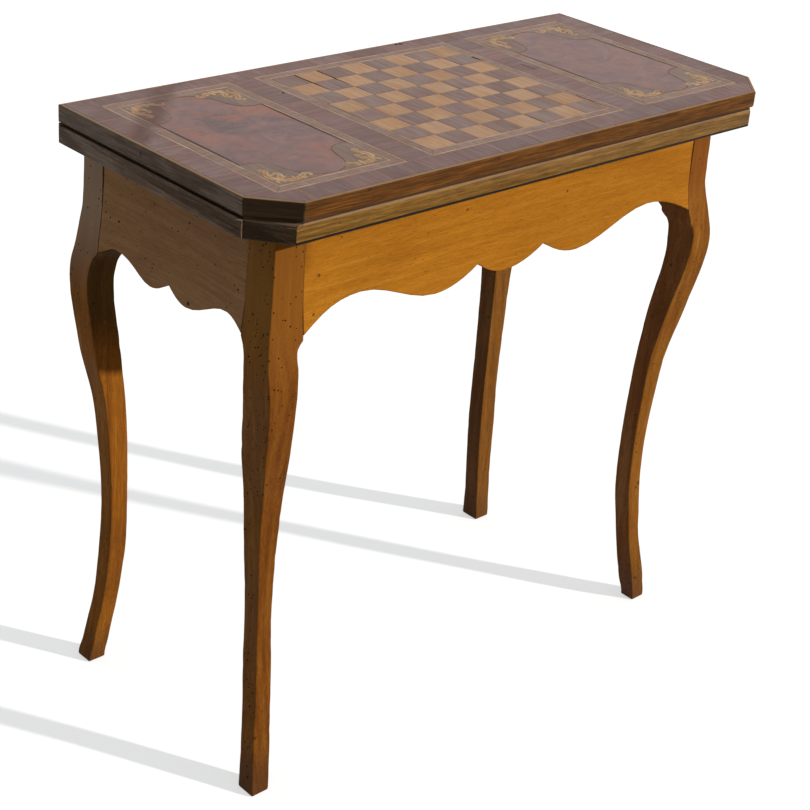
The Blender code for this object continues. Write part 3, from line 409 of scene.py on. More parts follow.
innerWood = {
    "pine": {"tones": ((132, 92, 52), (176, 132, 82), (198, 158, 106)), "streak": (60, 1.2), "rings": 300,
             "ringShare": 0.7, "contrast": (0.3, 0.7), "pore": 0.1, "fleck": 0.2, "worn": 0.3, "gloss": 0.12,
             "rough": (0.6, 0.78)},
    "core": {"tones": ((62, 42, 25), (88, 61, 38), (108, 79, 52)), "streak": (60, 1.4), "rings": 260,
             "ringShare": 0.6, "contrast": (0.3, 0.7), "cloud": (7, 0.4, (70, 50, 33)), "pore": 0.3,
             "fleck": 0.25, "worn": 0.0, "gloss": 0.12, "rough": (0.55, 0.75)},
    "fly": {"tones": ((104, 66, 30), (140, 94, 48), (166, 120, 68)), "streak": (120, 2.6), "rings": 140,
            "ringShare": 0.3, "contrast": (0.2, 0.8), "cloud": (8, 0.45, (106, 70, 40)), "pore": 0.6,
            "fleck": 0.3, "worn": 0.35, "gloss": 0.1, "rough": (0.5, 0.68), "specks": 0.8},
}
pineFinish = woodFinish("agedPine", cloud=(7, 0.4, (130, 96, 62)), **innerWood["pine"])
blockFinish = woodFinish("agedPineBlock", along="z", cloud=(9, 0.4, (130, 96, 62)), **innerWood["pine"])
paint(pineFinish, "back_rail")
paint(woodFinish("flyRailWalnut", **innerWood["fly"]), "fly_rail", "fixed_fly_rail")
paint(blockFinish, "front_left_block", "front_right_block", "back_left_block", "back_right_block")
paint(woodFinish("leafCoreWood", **innerWood["core"]), "upper_leaf_core", "lower_leaf_core")


def metalFinish(name, clean, dull, metallic, rough):
    material, tree, shader = newFinish(name)
    where = give(tree, "ShaderNodeTexCoord", None, "Object")
    patches = cloudy(where, 130, 5, 0.65, 0.8)
    scratches = cloudy(scaled(where, (160, 2600, 2600)), 1, 2, 0.6)
    dullness = spread(patches, 0.35, 0.7, rough, rough + 0.25) + scratches * 0.1
    colour = layer(clean, spread(patches, 0.4, 0.66), dull)
    feed(shader, {"Base Color": colour, "Roughness": dullness, "Metallic": metallic})
    rounded = give(tree, "ShaderNodeBevel", {"Radius": 0.0006}, samples=4)
    bumpy(shader, 0.35, 0.0003, patches + scratches * 0.4, Normal=rounded)
    return material


brassFinish = metalFinish("oldBrass", (162, 126, 70), (116, 90, 54), 1.0, 0.36)
ironFinish = metalFinish("oldIron", (88, 84, 80), (60, 44, 36), 0.85, 0.45)
paint(brassFinish, *[name for name in nodes if name.startswith("hinge_")])
paint(ironFinish, "knuckle_pin", *[name for name in nodes if name.endswith("_screw")])
print("inner wood and metal finished")


# meshes

def link(mesh, name):
    piece = bpy.data.objects.new(name, mesh)
    scene.collection.objects.link(piece)
    return piece


def meshOf(work, name, *materials):
    mesh = bpy.data.meshes.new(name)
    work.to_mesh(mesh)
    work.free()
    for material in materials:
        mesh.materials.append(material)
    return mesh


def settle(mesh, name, body, slot, *stands):  # a finished piece, for the nodes that it stands for
    piece = link(mesh, name)
    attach(piece, body)
    if stands:
        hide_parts(*stands)
    return piece


def smoothed(piece, angle, evenly=True):
    for polygon in piece.data.polygons:
        polygon.use_smooth = True
    piece.data.set_sharp_from_angle(angle=math.radians(angle))
    if evenly:
        piece.modifiers.new("even shading", "WEIGHTED_NORMAL").keep_sharp = True


class VeneerSheet:  # gathers flat pieces of veneer, each with its grain map and its tone, into one mesh
    def __init__(self, bottom, top):
        self.bottom = bottom
        self.top = top
        self.mesh = bmesh.new()
        self.map = self.mesh.loops.layers.uv.new("UVMap")
        self.tone = self.mesh.faces.layers.float.new("tone")

    def prisms(self, spots, parts, bottom, top, grain=90, tone=0.5, material=0):
        used = {i for part in parts for i in part}
        upper = {i: self.mesh.verts.new((spots[i][0], spots[i][1], top)) for i in used}
        lower = {i: self.mesh.verts.new((spots[i][0], spots[i][1], bottom)) for i in used}
        rims = {(i, j) for part in parts for i, j in zip(part, part[1:] + part[:1])}
        loops = [[upper[i] for i in part] for part in parts]
        loops += [[lower[i] for i in part[::-1]] for part in parts]
        loops += [(upper[j], upper[i], lower[i], lower[j]) for i, j in rims if (j, i) not in rims]
        turn = math.radians(grain)
        for corners in loops:
            face = self.mesh.faces.new(corners)
            face[self.tone] = tone
            face.material_index = material
            for loop in face.loops:
                x, y = loop.vert.co.xy
                across = x * math.sin(turn) - y * math.cos(turn)
                along = x * math.cos(turn) + y * math.sin(turn)
                loop[self.map].uv = (across, along)

    def add(self, outline, grain=90, tone=0.5, material=0, top=None):
        area = sum(a[0] * b[1] - b[0] * a[1] for a, b in zip(outline, outline[1:] + outline[:1]))
        if area < 0:
            outline = outline[::-1]
        parts = [list(range(len(outline)))]
        self.prisms(outline, parts, self.bottom, self.top if top is None else top, grain, tone, material)

    def merge(self, outlines, material, bottom, top):  # overlapping outlines as one flat piece
        points, shapes = [], []
        for outline in outlines:
            hull = geometry.convex_hull_2d(outline)
            if len(hull) > 2:
                shapes.append([len(points) + i for i in range(len(hull))])
                points += [Vector(outline[i]) for i in hull]
        spots, _, parts, _, _, sources = geometry.delaunay_2d_cdt(points, [], shapes, 1, 0.000002)
        kept = [part for part, source in zip(parts, sources) if source]
        self.prisms(spots, kept, bottom, top, material=material)

    def finish(self, name, slot, stands, *materials):
        bmesh.ops.recalc_face_normals(self.mesh, faces=self.mesh.faces)
        settle(meshOf(self.mesh, name, *materials), name, "top_leaf", slot, *stands)


def width(widths, share):  # a width that runs through a few values along a line
    place = share * (len(widths) - 1)
    i = min(int(place), len(widths) - 2)
    return widths[i] + (widths[i + 1] - widths[i]) * (place - i)


def ribbon(line, widths):  # the quads of a tapering strip along a line
    left, right = [], []
    last = len(line) - 1
    for i, (x, y) in enumerate(line):
        before, after = line[max(i - 1, 0)], line[min(i + 1, last)]
        dx, dy = after[0] - before[0], after[1] - before[1]
        size = math.hypot(dx, dy) or 1
        half = width(widths, i / last) / 2
        left.append((x - dy / size * half, y + dx / size * half))
        right.append((x + dy / size * half, y - dx / size * half))
    return [[right[i], right[i + 1], left[i + 1], left[i]] for i in range(last)]


def curve(points, steps=6):  # a smooth line through a few points
    line = []
    padded = [points[0]] + list(points) + [points[-1]]
    for i in range(len(points) - 1):
        for step in range(steps):
            t = step / steps
            spot = []
            for a, b, c, d in zip(*padded[i:i + 4]):
                bend = (2 * a - 5 * b + 4 * c - d) * t * t + (3 * b - a - 3 * c + d) * t ** 3
                spot.append(0.5 * (2 * b + (c - a) * t + bend))
            line.append(tuple(spot))
    return line + [tuple(points[-1])]


def cut(outline, nx, ny, limit):  # keeps the side of a convex outline where nx*x + ny*y is at most limit
    kept = []
    for a, b in zip(outline, outline[1:] + outline[:1]):
        da = nx * a[0] + ny * a[1] - limit
        db = nx * b[0] + ny * b[1] - limit
        if da <= 0:
            kept.append(a)
        if (da < 0 < db) or (db < 0 < da):
            t = da / (da - db)
            kept.append((a[0] + (b[0] - a[0]) * t, a[1] + (b[1] - a[1]) * t))
    return kept


def plan(name):  # a node's outline box in plan: left, front, right, back
    low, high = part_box(name)
    return low.x, low.y, high.x, high.y


# veneer woods

veneerWood = {
    "crossbandRosewood": {
        "along": "uv", "tones": ((92, 58, 54), (120, 84, 78), (146, 108, 98)), "streak": (230, 22),
        "contrast": (0.16, 0.84), "wander": 0.006, "cloud": (26, 0.5, (136, 102, 92)), "pore": 0.3,
        "fleck": 0.12, "toneSpread": 0.2, "darkReflection": 0.95, "gloss": 0.32, "rough": (0.34, 0.5), "bump": 0.2},
    "bandTulipwood": {
        "along": "uv", "tones": ((117, 86, 75), (142, 109, 96), (162, 128, 112)), "streak": (420, 30),
        "contrast": (0.25, 0.75), "wander": 0.003, "cloud": (22, 0.35, (134, 104, 90)), "pore": 0.2,
        "fleck": 0.18, "toneSpread": 0.08, "darkReflection": 0.9, "gloss": 0.32, "rough": (0.34, 0.48), "bump": 0.15},
    "boxwoodString": {
        "along": "uv", "tones": ((176, 132, 94), (204, 158, 116), (220, 180, 138)), "streak": (300, 20),
        "cloud": (30, 0.35, (168, 128, 92)), "pore": 0.15, "darkReflection": 0.6},
    "lightSquareWood": {
        "tones": ((168, 121, 79), (193, 144, 99), (207, 162, 117)), "streak": (260, 14),
        "contrast": (0.12, 0.88), "wander": 0.005, "cloud": (20, 0.35, (180, 132, 94)), "pore": 0.2,
        "fleck": 0.14, "toneSpread": 0.07, "rough": (0.34, 0.5), "bump": 0.2},
    "darkSquareWood": {
        "tones": ((104, 72, 62), (136, 104, 92), (156, 124, 110)), "streak": (240, 14),
        "contrast": (0.16, 0.84), "wander": 0.006, "cloud": (24, 0.4, (128, 98, 90)), "pore": 0.3,
        "fleck": 0.2, "toneSpread": 0.11, "rough": (0.34, 0.5), "bump": 0.2},
    "cornerGround": {
        "tones": ((109, 83, 70), (133, 104, 90), (149, 120, 104)), "streak": (220, 20), "darkReflection": 0.95,
        "contrast": (0.15, 0.85), "cloud": (24, 0.4, (112, 94, 78)), "pore": 0.2, "fleck": 0.18},
    "scrollSycamore": {
        "tones": ((178, 132, 84), (206, 160, 108), (220, 180, 130)), "streak": (260, 12), "darkReflection": 0.6,
        "cloud": (60, 0.45, (160, 116, 76)), "pore": 0.1, "fleck": 0.15},
}
thinLines = {  # fillers and lines too thin to show their own figure
    "paleJointFiller": {"along": "x", "tones": ((150, 108, 80), (176, 134, 102), (192, 150, 116))},
    "outlineString": {"tones": ((106, 74, 54), (134, 98, 70), (158, 120, 86))},
    "scrollShading": {"tones": ((150, 106, 66), (172, 126, 82), (186, 142, 98))},
    "darkPanelLine": {"tones": ((38, 30, 30), (54, 44, 42), (76, 62, 56)), "gloss": 0.25},
    "crackDirt": {"tones": ((14, 9, 7), (22, 14, 10), (38, 26, 20)), "gloss": 0.0, "rough": (0.9, 1.0)},
}
laidIn = {"along": "y", "worn": 0.0, "gloss": 0.3}
showing = {"ringShare": 0.0, "rough": (0.36, 0.5)}
finishes = {name: woodFinish(name, **{**laidIn, **showing, **look}) for name, look in veneerWood.items()}
finishes.update({name: woodFinish(name, **{**laidIn, **look}) for name, look in thinLines.items()})

# crossbanding: short tiles with their grain across each strip

veneer = {"bottom": 0.7491, "tiles": 0.74992, "inlay": 0.74997, "detail": 0.75}  # heights
banding = {
    "front": (-0.334, -0.282, -0.23, -0.177, -0.126, -0.076, -0.013, 0.03, 0.078, 0.138, 0.199, 0.265, 0.33),
    "back": (-0.331, -0.276, -0.219, -0.160, -0.104, -0.050, 0.006, 0.061, 0.117, 0.172, 0.228, 0.283, 0.336),
    "side": (-0.112, -0.060, -0.008, 0.045, 0.096), "joint": 0.00018,
    "pale": (-0.334, -0.177, -0.076, -0.013, 0.030, 0.078, 0.199, 0.330), "paleJoint": 0.0012,
    "cracks": {"left": -0.008, "right": -0.006}, "crack": 0.001, "cant": (0.03951, 0.04044), "seed": 7,
}
chance = random.Random(banding["seed"])
boardLeft, boardFront, boardRight, boardBack = plan("chessboard_outer_string")
panelLeft, panelFront, panelRight, panelBack = plan("left_panel_outer_string")
endLeft, endFront, endRight, endBack = plan("right_panel_outer_string")
outLeft, outFront, outRight, outBack = plan("crossbanding")
cantX, cantY = outLeft + banding["cant"][0], outFront + banding["cant"][1]
leftCant = ((outLeft + cantX) / 2, (outFront + cantY) / 2)
rightCant = (-leftCant[0], leftCant[1])
strips = {
    "front": [leftCant, (cantX, outFront), (-cantX, outFront), rightCant, (endRight, endFront),
              (panelLeft, panelFront)],
    "back": [(panelLeft, panelBack), (endRight, endBack), (outRight, outBack), (outLeft, outBack)],
    "left": [(outLeft, outBack), (outLeft, cantY), leftCant, (panelLeft, panelFront), (panelLeft, panelBack)],
    "right": [(outRight, outBack), (endRight, endBack), (endRight, endFront), rightCant, (outRight, cantY)],
    "leftMiddle": [(panelRight, panelFront), (boardLeft, boardFront), (boardLeft, boardBack),
                   (panelRight, panelBack)],
    "rightMiddle": [(boardRight, boardFront), (endLeft, endFront), (endLeft, endBack),
                    (boardRight, boardBack)],
}


def between(outline, lengthways, low, high):  # what of an outline lies between two cuts across its strip
    nx, ny = (1, 0) if lengthways else (0, 1)
    return cut(cut(outline, nx, ny, high), -nx, -ny, -low)


tiles = VeneerSheet(veneer["bottom"], veneer["tiles"])
for strip, outline in strips.items():
    lengthways = strip in ("front", "back")
    joints = [-1.0, *banding[strip if lengthways else "side"], 1.0]
    half = banding["joint"] / 2
    for low, high in zip(joints, joints[1:]):
        tile = between(outline, lengthways, low + half, high - half)
        if len(tile) > 2:
            tiles.add(tile, 90 if lengthways else 0, chance.random())
half = banding["paleJoint"] / 2
for x in banding["pale"]:
    tiles.add(between(strips["front"], True, x - half, x + half), 90, 0.5, 1, veneer["inlay"])
half = banding["crack"] / 2
for x0, x1, side in ((outLeft, panelLeft, "left"), (boardRight, endLeft, "right")):
    front, back = banding["cracks"][side] - half, banding["cracks"][side] + half
    tiles.add([(x0, front), (x1, front), (x1, back), (x0, back)], 0, 0.5, 1, veneer["inlay"])
tiles.finish("crossbandTiles", "crossband", ["crossbanding"],
             finishes["crossbandRosewood"], finishes["paleJointFiller"])

# bands and strings, mitred


def mitred(outer, inner, top, grains, shades):
    a, b, c, d = plan(outer)
    e, f, g, h = plan(inner)
    ring = VeneerSheet(veneer["bottom"], top)
    ring.add([(a, b), (c, b), (g, f), (e, f)], grains[0], shades[0])
    ring.add([(c, d), (a, d), (e, h), (g, h)], grains[0], shades[1])
    ring.add([(a, d), (a, b), (e, f), (e, h)], grains[1], shades[2])
    ring.add([(c, b), (c, d), (g, h), (g, f)], grains[1], shades[3])
    return ring


inlays = {"chessboard": "chessboard", "left": "left_panel", "right": "right_panel"}
for short, inlay in inlays.items():  # the bands' grain runs across
    ring = mitred(inlay + "_band", inlay + "_inner_string", veneer["tiles"], (90, 0), (0.72, 0.55, 0.3, 0.4))
    ring.finish(short + "BandStrips", "tone_band", [inlay + "_band"], finishes["bandTulipwood"])
for short, inlay in inlays.items():
    for place, inside in (("outer", "_band"), ("inner", "_field")):
        string = f"{inlay}_{place}_string"
        ring = mitred(string, inlay + inside, veneer["inlay"], (0, 90), (0.6, 0.5, 0.4, 0.45))
        ring.finish(short + place.title() + "StringLine", "light_string", [string], finishes["boxwoodString"])
print("crossbanding, bands and strings laid")

# chessboard squares, laid out by Geometry Nodes

board = {"squares": 8, "gap": 0.00025, "uneven": 0.00003, "seed": 21}


def nodeTree(name, **inputs):
    tree = bpy.data.node_groups.new(name, "GeometryNodeTree")
    for label, kind in {"Geometry": "Geometry", **inputs}.items():
        tree.interface.new_socket(label, in_out="INPUT", socket_type="NodeSocket" + kind)
    tree.interface.new_socket("Geometry", in_out="OUTPUT", socket_type="NodeSocketGeometry")
    return tree, {socket.name: Flow(socket) for socket in put(tree, "NodeGroupInput").outputs if socket.name}


def bake(piece, tree, name, **values):  # the finished plain mesh of a Geometry Nodes tree
    modifier = piece.modifiers.new("made", "NODES")
    modifier.node_group = tree
    for item in tree.interface.items_tree:  # a modifier takes its inputs by the socket's identifier
        if item.in_out == "INPUT" and item.name in values:
            modifier[item.identifier] = values[item.name]
    graph = bpy.context.evaluated_depsgraph_get()
    shaped = piece.evaluated_get(graph)
    mesh = bpy.data.meshes.new_from_object(shaped, preserve_all_data_layers=True, depsgraph=graph)
    mesh.name = name
    bpy.data.objects.remove(piece)
    return mesh


def squareTree():
    tree, entry = nodeTree("boardSquares", Square="Float", Gap="Float", Thickness="Float", Uneven="Float",
                           Shade="Int", Middle="Vector", Seed="Int", Finish="Material")
    count = board["squares"]
    reach = entry["Square"] * (count - 1.0)
    spacing = {"Size X": reach, "Size Y": reach, "Vertices X": count, "Vertices Y": count}
    grid = give(tree, "GeometryNodeMeshGrid", spacing)
    index = give(tree, "GeometryNodeInputIndex")
    row = index.calc("DIVIDE", float(count)).calc("FLOOR")
    parity = (row + index).calc("MODULO", 2.0)
    wrong = give(tree, "FunctionNodeCompare", {0: parity, 1: entry["Shade"], "Epsilon": 0.1},
                 data_type="FLOAT", operation="NOT_EQUAL")
    kept = give(tree, "GeometryNodeDeleteGeometry", {0: grid, 1: wrong}, domain="POINT")
    side = entry["Square"] - entry["Gap"]
    square = give(tree, "GeometryNodeMeshCube", {"Size": joined(tree, side, side, entry["Thickness"])})
    laid = give(tree, "GeometryNodeInstanceOnPoints", {"Points": kept, "Instance": square})
    luck = give(tree, "FunctionNodeRandomValue", {"Seed": entry["Seed"]}, 1, data_type="FLOAT")
    stored = give(tree, "GeometryNodeStoreNamedAttribute", {"Geometry": laid, "Name": "tone", "Value": luck},
                  data_type="FLOAT", domain="INSTANCE")
    drop = joined(tree, z=luck * (entry["Uneven"] * -1.0))
    moved = give(tree, "GeometryNodeTranslateInstances", {"Instances": stored, "Translation": drop})
    plain = give(tree, "GeometryNodeRealizeInstances", {0: moved})
    placed = give(tree, "GeometryNodeTransform", {"Geometry": plain, "Translation": entry["Middle"]})
    finished = give(tree, "GeometryNodeSetMaterial", {"Geometry": placed, "Material": entry["Finish"]})
    put(tree, "NodeGroupOutput", {0: finished})
    return tree


a, b, c, d = plan("chessboard_field")
thick = veneer["tiles"] - veneer["bottom"]
middle = ((a + c) / 2, (b + d) / 2, veneer["bottom"] + thick / 2)
squares = squareTree()
for shade, name in enumerate(("lightSquares", "darkSquares")):
    blank = link(bpy.data.meshes.new(name + "Start"), name + "Start")
    mesh = bake(blank, squares, name, Square=(c - a) / board["squares"], Gap=board["gap"], Thickness=thick,
                Uneven=board["uneven"], Shade=shade, Middle=middle, Seed=board["seed"] + shade,
                Finish=finishes[name[:-1] + "Wood"])
    settle(mesh, name, "top_leaf", "chess", "chessboard_field")

damage = {
    "cracks": ((-0.102, 0.1208, 0.056, 0.0019), (-0.068, 0.1208, 0.062, 0.0018),
               (-0.1365, 0.02, -0.05, 0.0007), (0.034, -0.1506, -0.118, 0.0007),
               (0.1405, -0.100, -0.146, 0.0013), (0.139, 0.072, 0.052, 0.0030),
               (0.172, 0.020, -0.005, 0.0010)),  # place across, start, end, width
    "spots": ((-0.155, 0.075, 0.0026), (0.0965, 0.1555, 0.0036), (0.09, 0.1565, 0.0028),
              (0.10, -0.1965, 0.0015)),
    "shake": 0.0005,
}
# painted shade and grime: the cracks are dark strips laid on the top, and the spots share their colour
wear = VeneerSheet(veneer["tiles"], veneer["detail"])
for x, start, end, wide in damage["cracks"]:
    shake = damage["shake"]
    line = [(x + chance.uniform(-shake, shake), start + (end - start) * i / 14) for i in range(15)]
    taper = (wide, wide * 0.8, wide, wide * 0.5, wide * 0.2)
    wear.merge(ribbon(line, taper), 0, veneer["tiles"], veneer["detail"])
for x, y, size in damage["spots"]:
    rim = []
    for i in range(10):
        angle = i * math.pi / 5
        rimX = x + size * chance.uniform(0.5, 1) * math.cos(angle)
        rim.append((rimX, y + size * chance.uniform(0.4, 0.9) * math.sin(angle)))
    wear.add(rim)
wear.finish("boardCracks", "chess", [], finishes["crackDirt"])
print("chessboard laid")

# end panels: burr, corner grounds and plain scrolls

panel = {
    "cornerHigh": 0.065, "outline": (0.0012, 0.0012), "shading": (0.0003, 0.0008, 0.0006, 0.0003),
    "leafWidths": (0.0016, 0.0046, 0.0038, 0.0004), "darkLine": (0.0012, 0.0034, 0.0038, 0.0034, 0.0012),
    "darkLeft": (0.0019, 1.0), "darkRight": (0.0015, 0.7),  # distance from the end, share of the width
    "depth": 0.0002, "groundDown": 0.00002, "outlineDown": 0.00001, "burrDown": 0.00008,
    "frontArm": (0.0060, 0.0088, 0.0070, 0.0074, 0.0056, 0.0040, 0.0028, 0.0014),
    "sideArm": (0.0060, 0.0082, 0.0066, 0.0068, 0.0052, 0.0038, 0.0028, 0.0014),
    "heart": (0.0050, 0.0074, 0.0064, 0.0044, 0.0028, 0.0014),
}
scroll = {  # one corner, seen from its point
    "bound": ((0.0, 0.065), (0.014, 0.0645), (0.027, 0.058), (0.034, 0.043), (0.038, 0.026), (0.046, 0.012),
              (0.058, 0.0045), (0.0700, 0.0012)),
    "frontArm": ((0.010, 0.0135), (0.018, 0.0075), (0.028, 0.0065), (0.037, 0.0105), (0.043, 0.0145),
                 (0.048, 0.0125), (0.0475, 0.0085), (0.0445, 0.0085)),
    "sideArm": ((0.010, 0.0135), (0.0055, 0.021), (0.0065, 0.030), (0.0115, 0.036), (0.0125, 0.0415),
                (0.009, 0.044), (0.0062, 0.0415), (0.008, 0.0395)),
    "heart": ((0.010, 0.0135), (0.015, 0.0175), (0.019, 0.0235), (0.0185, 0.029), (0.0155, 0.0295),
              (0.0155, 0.0265)),
    "leaves": (((0.024, 0.0068), (0.027, 0.0115), (0.0265, 0.016)),
               ((0.031, 0.0078), (0.035, 0.0055), (0.041, 0.0052)),
               ((0.006, 0.0255), (0.010, 0.0275), (0.0155, 0.0265)),
               ((0.0135, 0.0165), (0.0175, 0.0165), (0.022, 0.0175)),
               ((0.0088, 0.0128), (0.0052, 0.0088), (0.0048, 0.0048)),
               ((0.0105, 0.0118), (0.0125, 0.0075), (0.0115, 0.0038))),
}


def burrFinish(name, *colours):
    material, tree, shader = newFinish(name)
    where = give(tree, "ShaderNodeTexCoord", None, "Object")
    x, y, _ = split(where)
    swirling = (where, 30, 8, 0.6, 1.4)
    swirl = cloudy(*swirling)
    fine = cloudy(where, 240, 6, 0.7, 0.8)
    mix = give(tree, "ShaderNodeMix", {0: 0.45, 2: swirl, 3: fine})
    colour = tones(spread(mix, 0.22, 0.78), colours, 0.5)
    # the figure fades towards the right end, leaving it greyer: painted reflection
    fromLeft = spread(x, -0.2, 0.25, 1.0, 0.35)
    broad = cloudy(where, 17, 3, 0.55, 0.6)
    colour = layer(colour, spread(broad, 0.46, 0.68, 0.0, 0.75) * fromLeft, (88, 66, 66))
    red = cloudy(scaled(where, (1, 0.7, 7)), 20, 3, 0.5, 0.5)
    colour = layer(colour, spread(red, 0.44, 0.68) * fromLeft * 0.5, (172, 98, 64))
    veins = cloudy(scaled(where, (0.5, 1.6, 1)), 26, 7, 0.7, 1.0)
    vein = spread(abs(veins - 0.5), 0.0, 0.022, 1.0, 0.0)
    colour = layer(colour, vein * (spread(broad, 0.42, 0.6, 0.1, 0.7) * fromLeft), (74, 58, 58))
    bent = vectors("ADD", where, scaled(cloudy(*swirling, out=1), (0.012, 0.012, 0.012)))
    eyes = give(tree, "ShaderNodeTexVoronoi", {"Vector": bent, "Scale": 120}, "Distance")
    eye = spread(eyes, 0.1, 0.26, 1.0, 0.0) * spread(cloudy(where, 26, 2), 0.5, 0.62)
    colour = layer(colour, eye * 0.3, (88, 62, 54))
    # painted reflection: the same dark streak across the burr
    colour = paintedDarkReflection(colour, x, y, swirl * 0.02, 0.303, 0.8, (80, 30, 8))
    rough = spread(fine, 0.3, 0.7, 0.34, 0.5)
    feed(shader, {"Base Color": colour, "Roughness": rough, "Specular IOR Level": 0.32})
    bumpy(shader, 0.15, 0.0003, mix)
    return material


def inlayCorner(sheet, corner):  # corner turns a point of the pattern into its place on the panel
    under = veneer["tiles"] - panel["depth"]
    bound = curve(scroll["bound"], 4)
    quads = [[corner(p[0], 0.0), corner(q[0], 0.0), corner(*q), corner(*p)] for p, q in zip(bound, bound[1:])]
    sheet.merge(quads, 1, under, veneer["tiles"] - panel["groundDown"])
    outline = ribbon([corner(*point) for point in bound], panel["outline"])
    sheet.merge(outline, 3, under, veneer["inlay"] - panel["outlineDown"])
    scrolls, shading = [], []
    for arm in ("frontArm", "sideArm", "heart"):
        line = [corner(*point) for point in curve(scroll[arm], 5)]
        scrolls += ribbon(line, panel[arm])
        shading += ribbon(line[3:-6], panel["shading"])
    for leaf in scroll["leaves"]:
        scrolls += ribbon([corner(*point) for point in curve(leaf, 5)], panel["leafWidths"])
    sheet.merge(scrolls, 2, under, veneer["inlay"])
    sheet.merge(shading, 4, veneer["inlay"], veneer["detail"])


burr = burrFinish("burrWalnut", (92, 70, 69), (132, 93, 87), (158, 114, 99))
inlayWoods = ("cornerGround", "scrollSycamore", "outlineString", "scrollShading", "darkPanelLine")
for end in ("left", "right"):
    a, b, c, d = plan(f"{end}_panel_field")
    sheet = VeneerSheet(veneer["bottom"], veneer["tiles"] - panel["burrDown"])
    sheet.add([(a, b), (c, b), (c, d), (a, d)])
    for x0, wayX in ((a, 1), (c, -1)):
        for y0, wayY in ((b, 1), (d, -1)):
            inlayCorner(sheet, lambda x, y: (x0 + wayX * x, y0 + wayY * y))
    high = panel["cornerHigh"]
    for x, (inset, share) in ((a, panel["darkLeft"]), (c, panel["darkRight"])):
        x = x + inset if x == a else x - inset
        line = [(x, b + high + i * (d - b - 2 * high) / 10) for i in range(11)]
        wide = tuple(share * part for part in panel["darkLine"])
        sheet.merge(ribbon(line, wide), 5, veneer["tiles"] - panel["depth"], veneer["inlay"])
    woods = [finishes[wood] for wood in inlayWoods]
    sheet.finish(end + "PanelInlay", "burr", [f"{end}_panel_field"], burr, *woods)
print("end panels inlaid")

# rounded legs and aprons


def apronArris(edge):  # the lower outer arris
    a, b = (vertex.co for vertex in edge.verts)
    outer, under = sorted((face.normal for face in edge.link_faces), key=lambda normal: -normal.z)
    return max(a.z, b.z) < 0.70 and under.z < -0.5 and abs(outer.z) < 0.5


def rubbedApron(name, radius=0.0011):
    work = bmesh.new()
    work.from_mesh(nodes[name].data)
    bmesh.ops.remove_doubles(work, verts=work.verts, dist=weldGap)
    bmesh.ops.join_triangles(work, faces=work.faces, angle_face_threshold=math.radians(2),
                             angle_shape_threshold=math.radians(180))
    work.normal_update()
    edges = [edge for edge in work.edges if len(edge.link_faces) == 2
             and edge.calc_face_angle_signed() > math.radians(40) and apronArris(edge)]
    bmesh.ops.bevel(work, geom=edges, offset=radius, segments=2, profile=0.5, affect="EDGES",
                    clamp_overlap=True)
    mesh = meshOf(work, name + "Worked", *nodes[name].data.materials)
    piece = settle(mesh, name.replace("_apron", "ApronWorked"), "table", slotOf[name], name)
    smoothed(piece, 36)


legShape = {
    "step": 0.004, "arris": 0.0013, "jointArris": 0.0004, "uneven": 0.0007,
    "grow": 0.0004, "footRound": 0.0014,
    "front_left_leg": {"innerX": ((0.0, 0.0004), (0.30, 0.0002), (0.35, 0.0010), (0.42, 0.0004),
                                  (0.50, 0.0008),
                                  (0.545, 0.0020), (0.556, 0.0002), (0.566, -0.0022), (0.572, -0.0020),
                                  (0.5749, 0.0))},
    "back_left_leg": {"innerX": ((0.0, 0.0004), (0.06, 0.0014), (0.14, 0.0012), (0.25, 0.0006),
                                 (0.36, 0.0014),
                                 (0.5, 0.0006), (0.572, 0.0))},
    "front_right_leg": {"innerX": ((0.54, 0.0), (0.556, -0.0012), (0.566, -0.0030), (0.574, -0.0036),
                                   (0.582, -0.0024), (0.590, 0.0)),
                        "innerY": ((0.535, 0.0), (0.552, -0.0010), (0.561, -0.0018), (0.569, -0.0010),
                                   (0.5749, 0.0)),
                        "innerCorner": ((0.545, 0.0004), (0.560, 0.0040), (0.572, 0.0072), (0.582, 0.0060),
                                        (0.594, 0.0004))},
    "back_right_leg": {},
}


def eased(points, at):  # a smooth value through (place, value) pairs that never swings past them
    if at <= points[0][0]:
        return points[0][1]
    if at >= points[-1][0]:
        return points[-1][1]
    rise = [(b[1] - a[1]) / (b[0] - a[0]) for a, b in zip(points, points[1:])]
    i = max(k for k in range(len(rise)) if points[k][0] <= at)

    def slope(k):
        if k == 0 or k == len(rise) or rise[k - 1] * rise[k] <= 0:
            return 0.0
        return 2 * rise[k - 1] * rise[k] / (rise[k - 1] + rise[k])
    span = points[i + 1][0] - points[i][0]
    t = (at - points[i][0]) / span
    return ((2 * t ** 3 - 3 * t ** 2 + 1) * points[i][1] + (t ** 3 - 2 * t ** 2 + t) * span * slope(i)
            + (3 * t ** 2 - 2 * t ** 3) * points[i + 1][1] + (t ** 3 - t ** 2) * span * slope(i + 1))


def sawnSections(name):  # the leg's square section at each height where the solid has one
    levels = {}
    for vertex in nodes[name].data.vertices:
        levels.setdefault(round(vertex.co.z, 5), []).append(vertex.co)
    sections = []
    for z, points in sorted(levels.items()):
        x0, x1 = min(p.x for p in points), max(p.x for p in points)
        y0, y1 = min(p.y for p in points), max(p.y for p in points)
        corners = sum(any(abs(p.x - x) < 0.0014 and abs(p.y - y) < 0.0014 for p in points)
                      for x in (x0, x1) for y in (y0, y1))
        if corners == 4 and min(x1 - x0, y1 - y0) > 0.017 and z > 0.001:
            sections.append((z, x0, x1, y0, y1))
    return sections


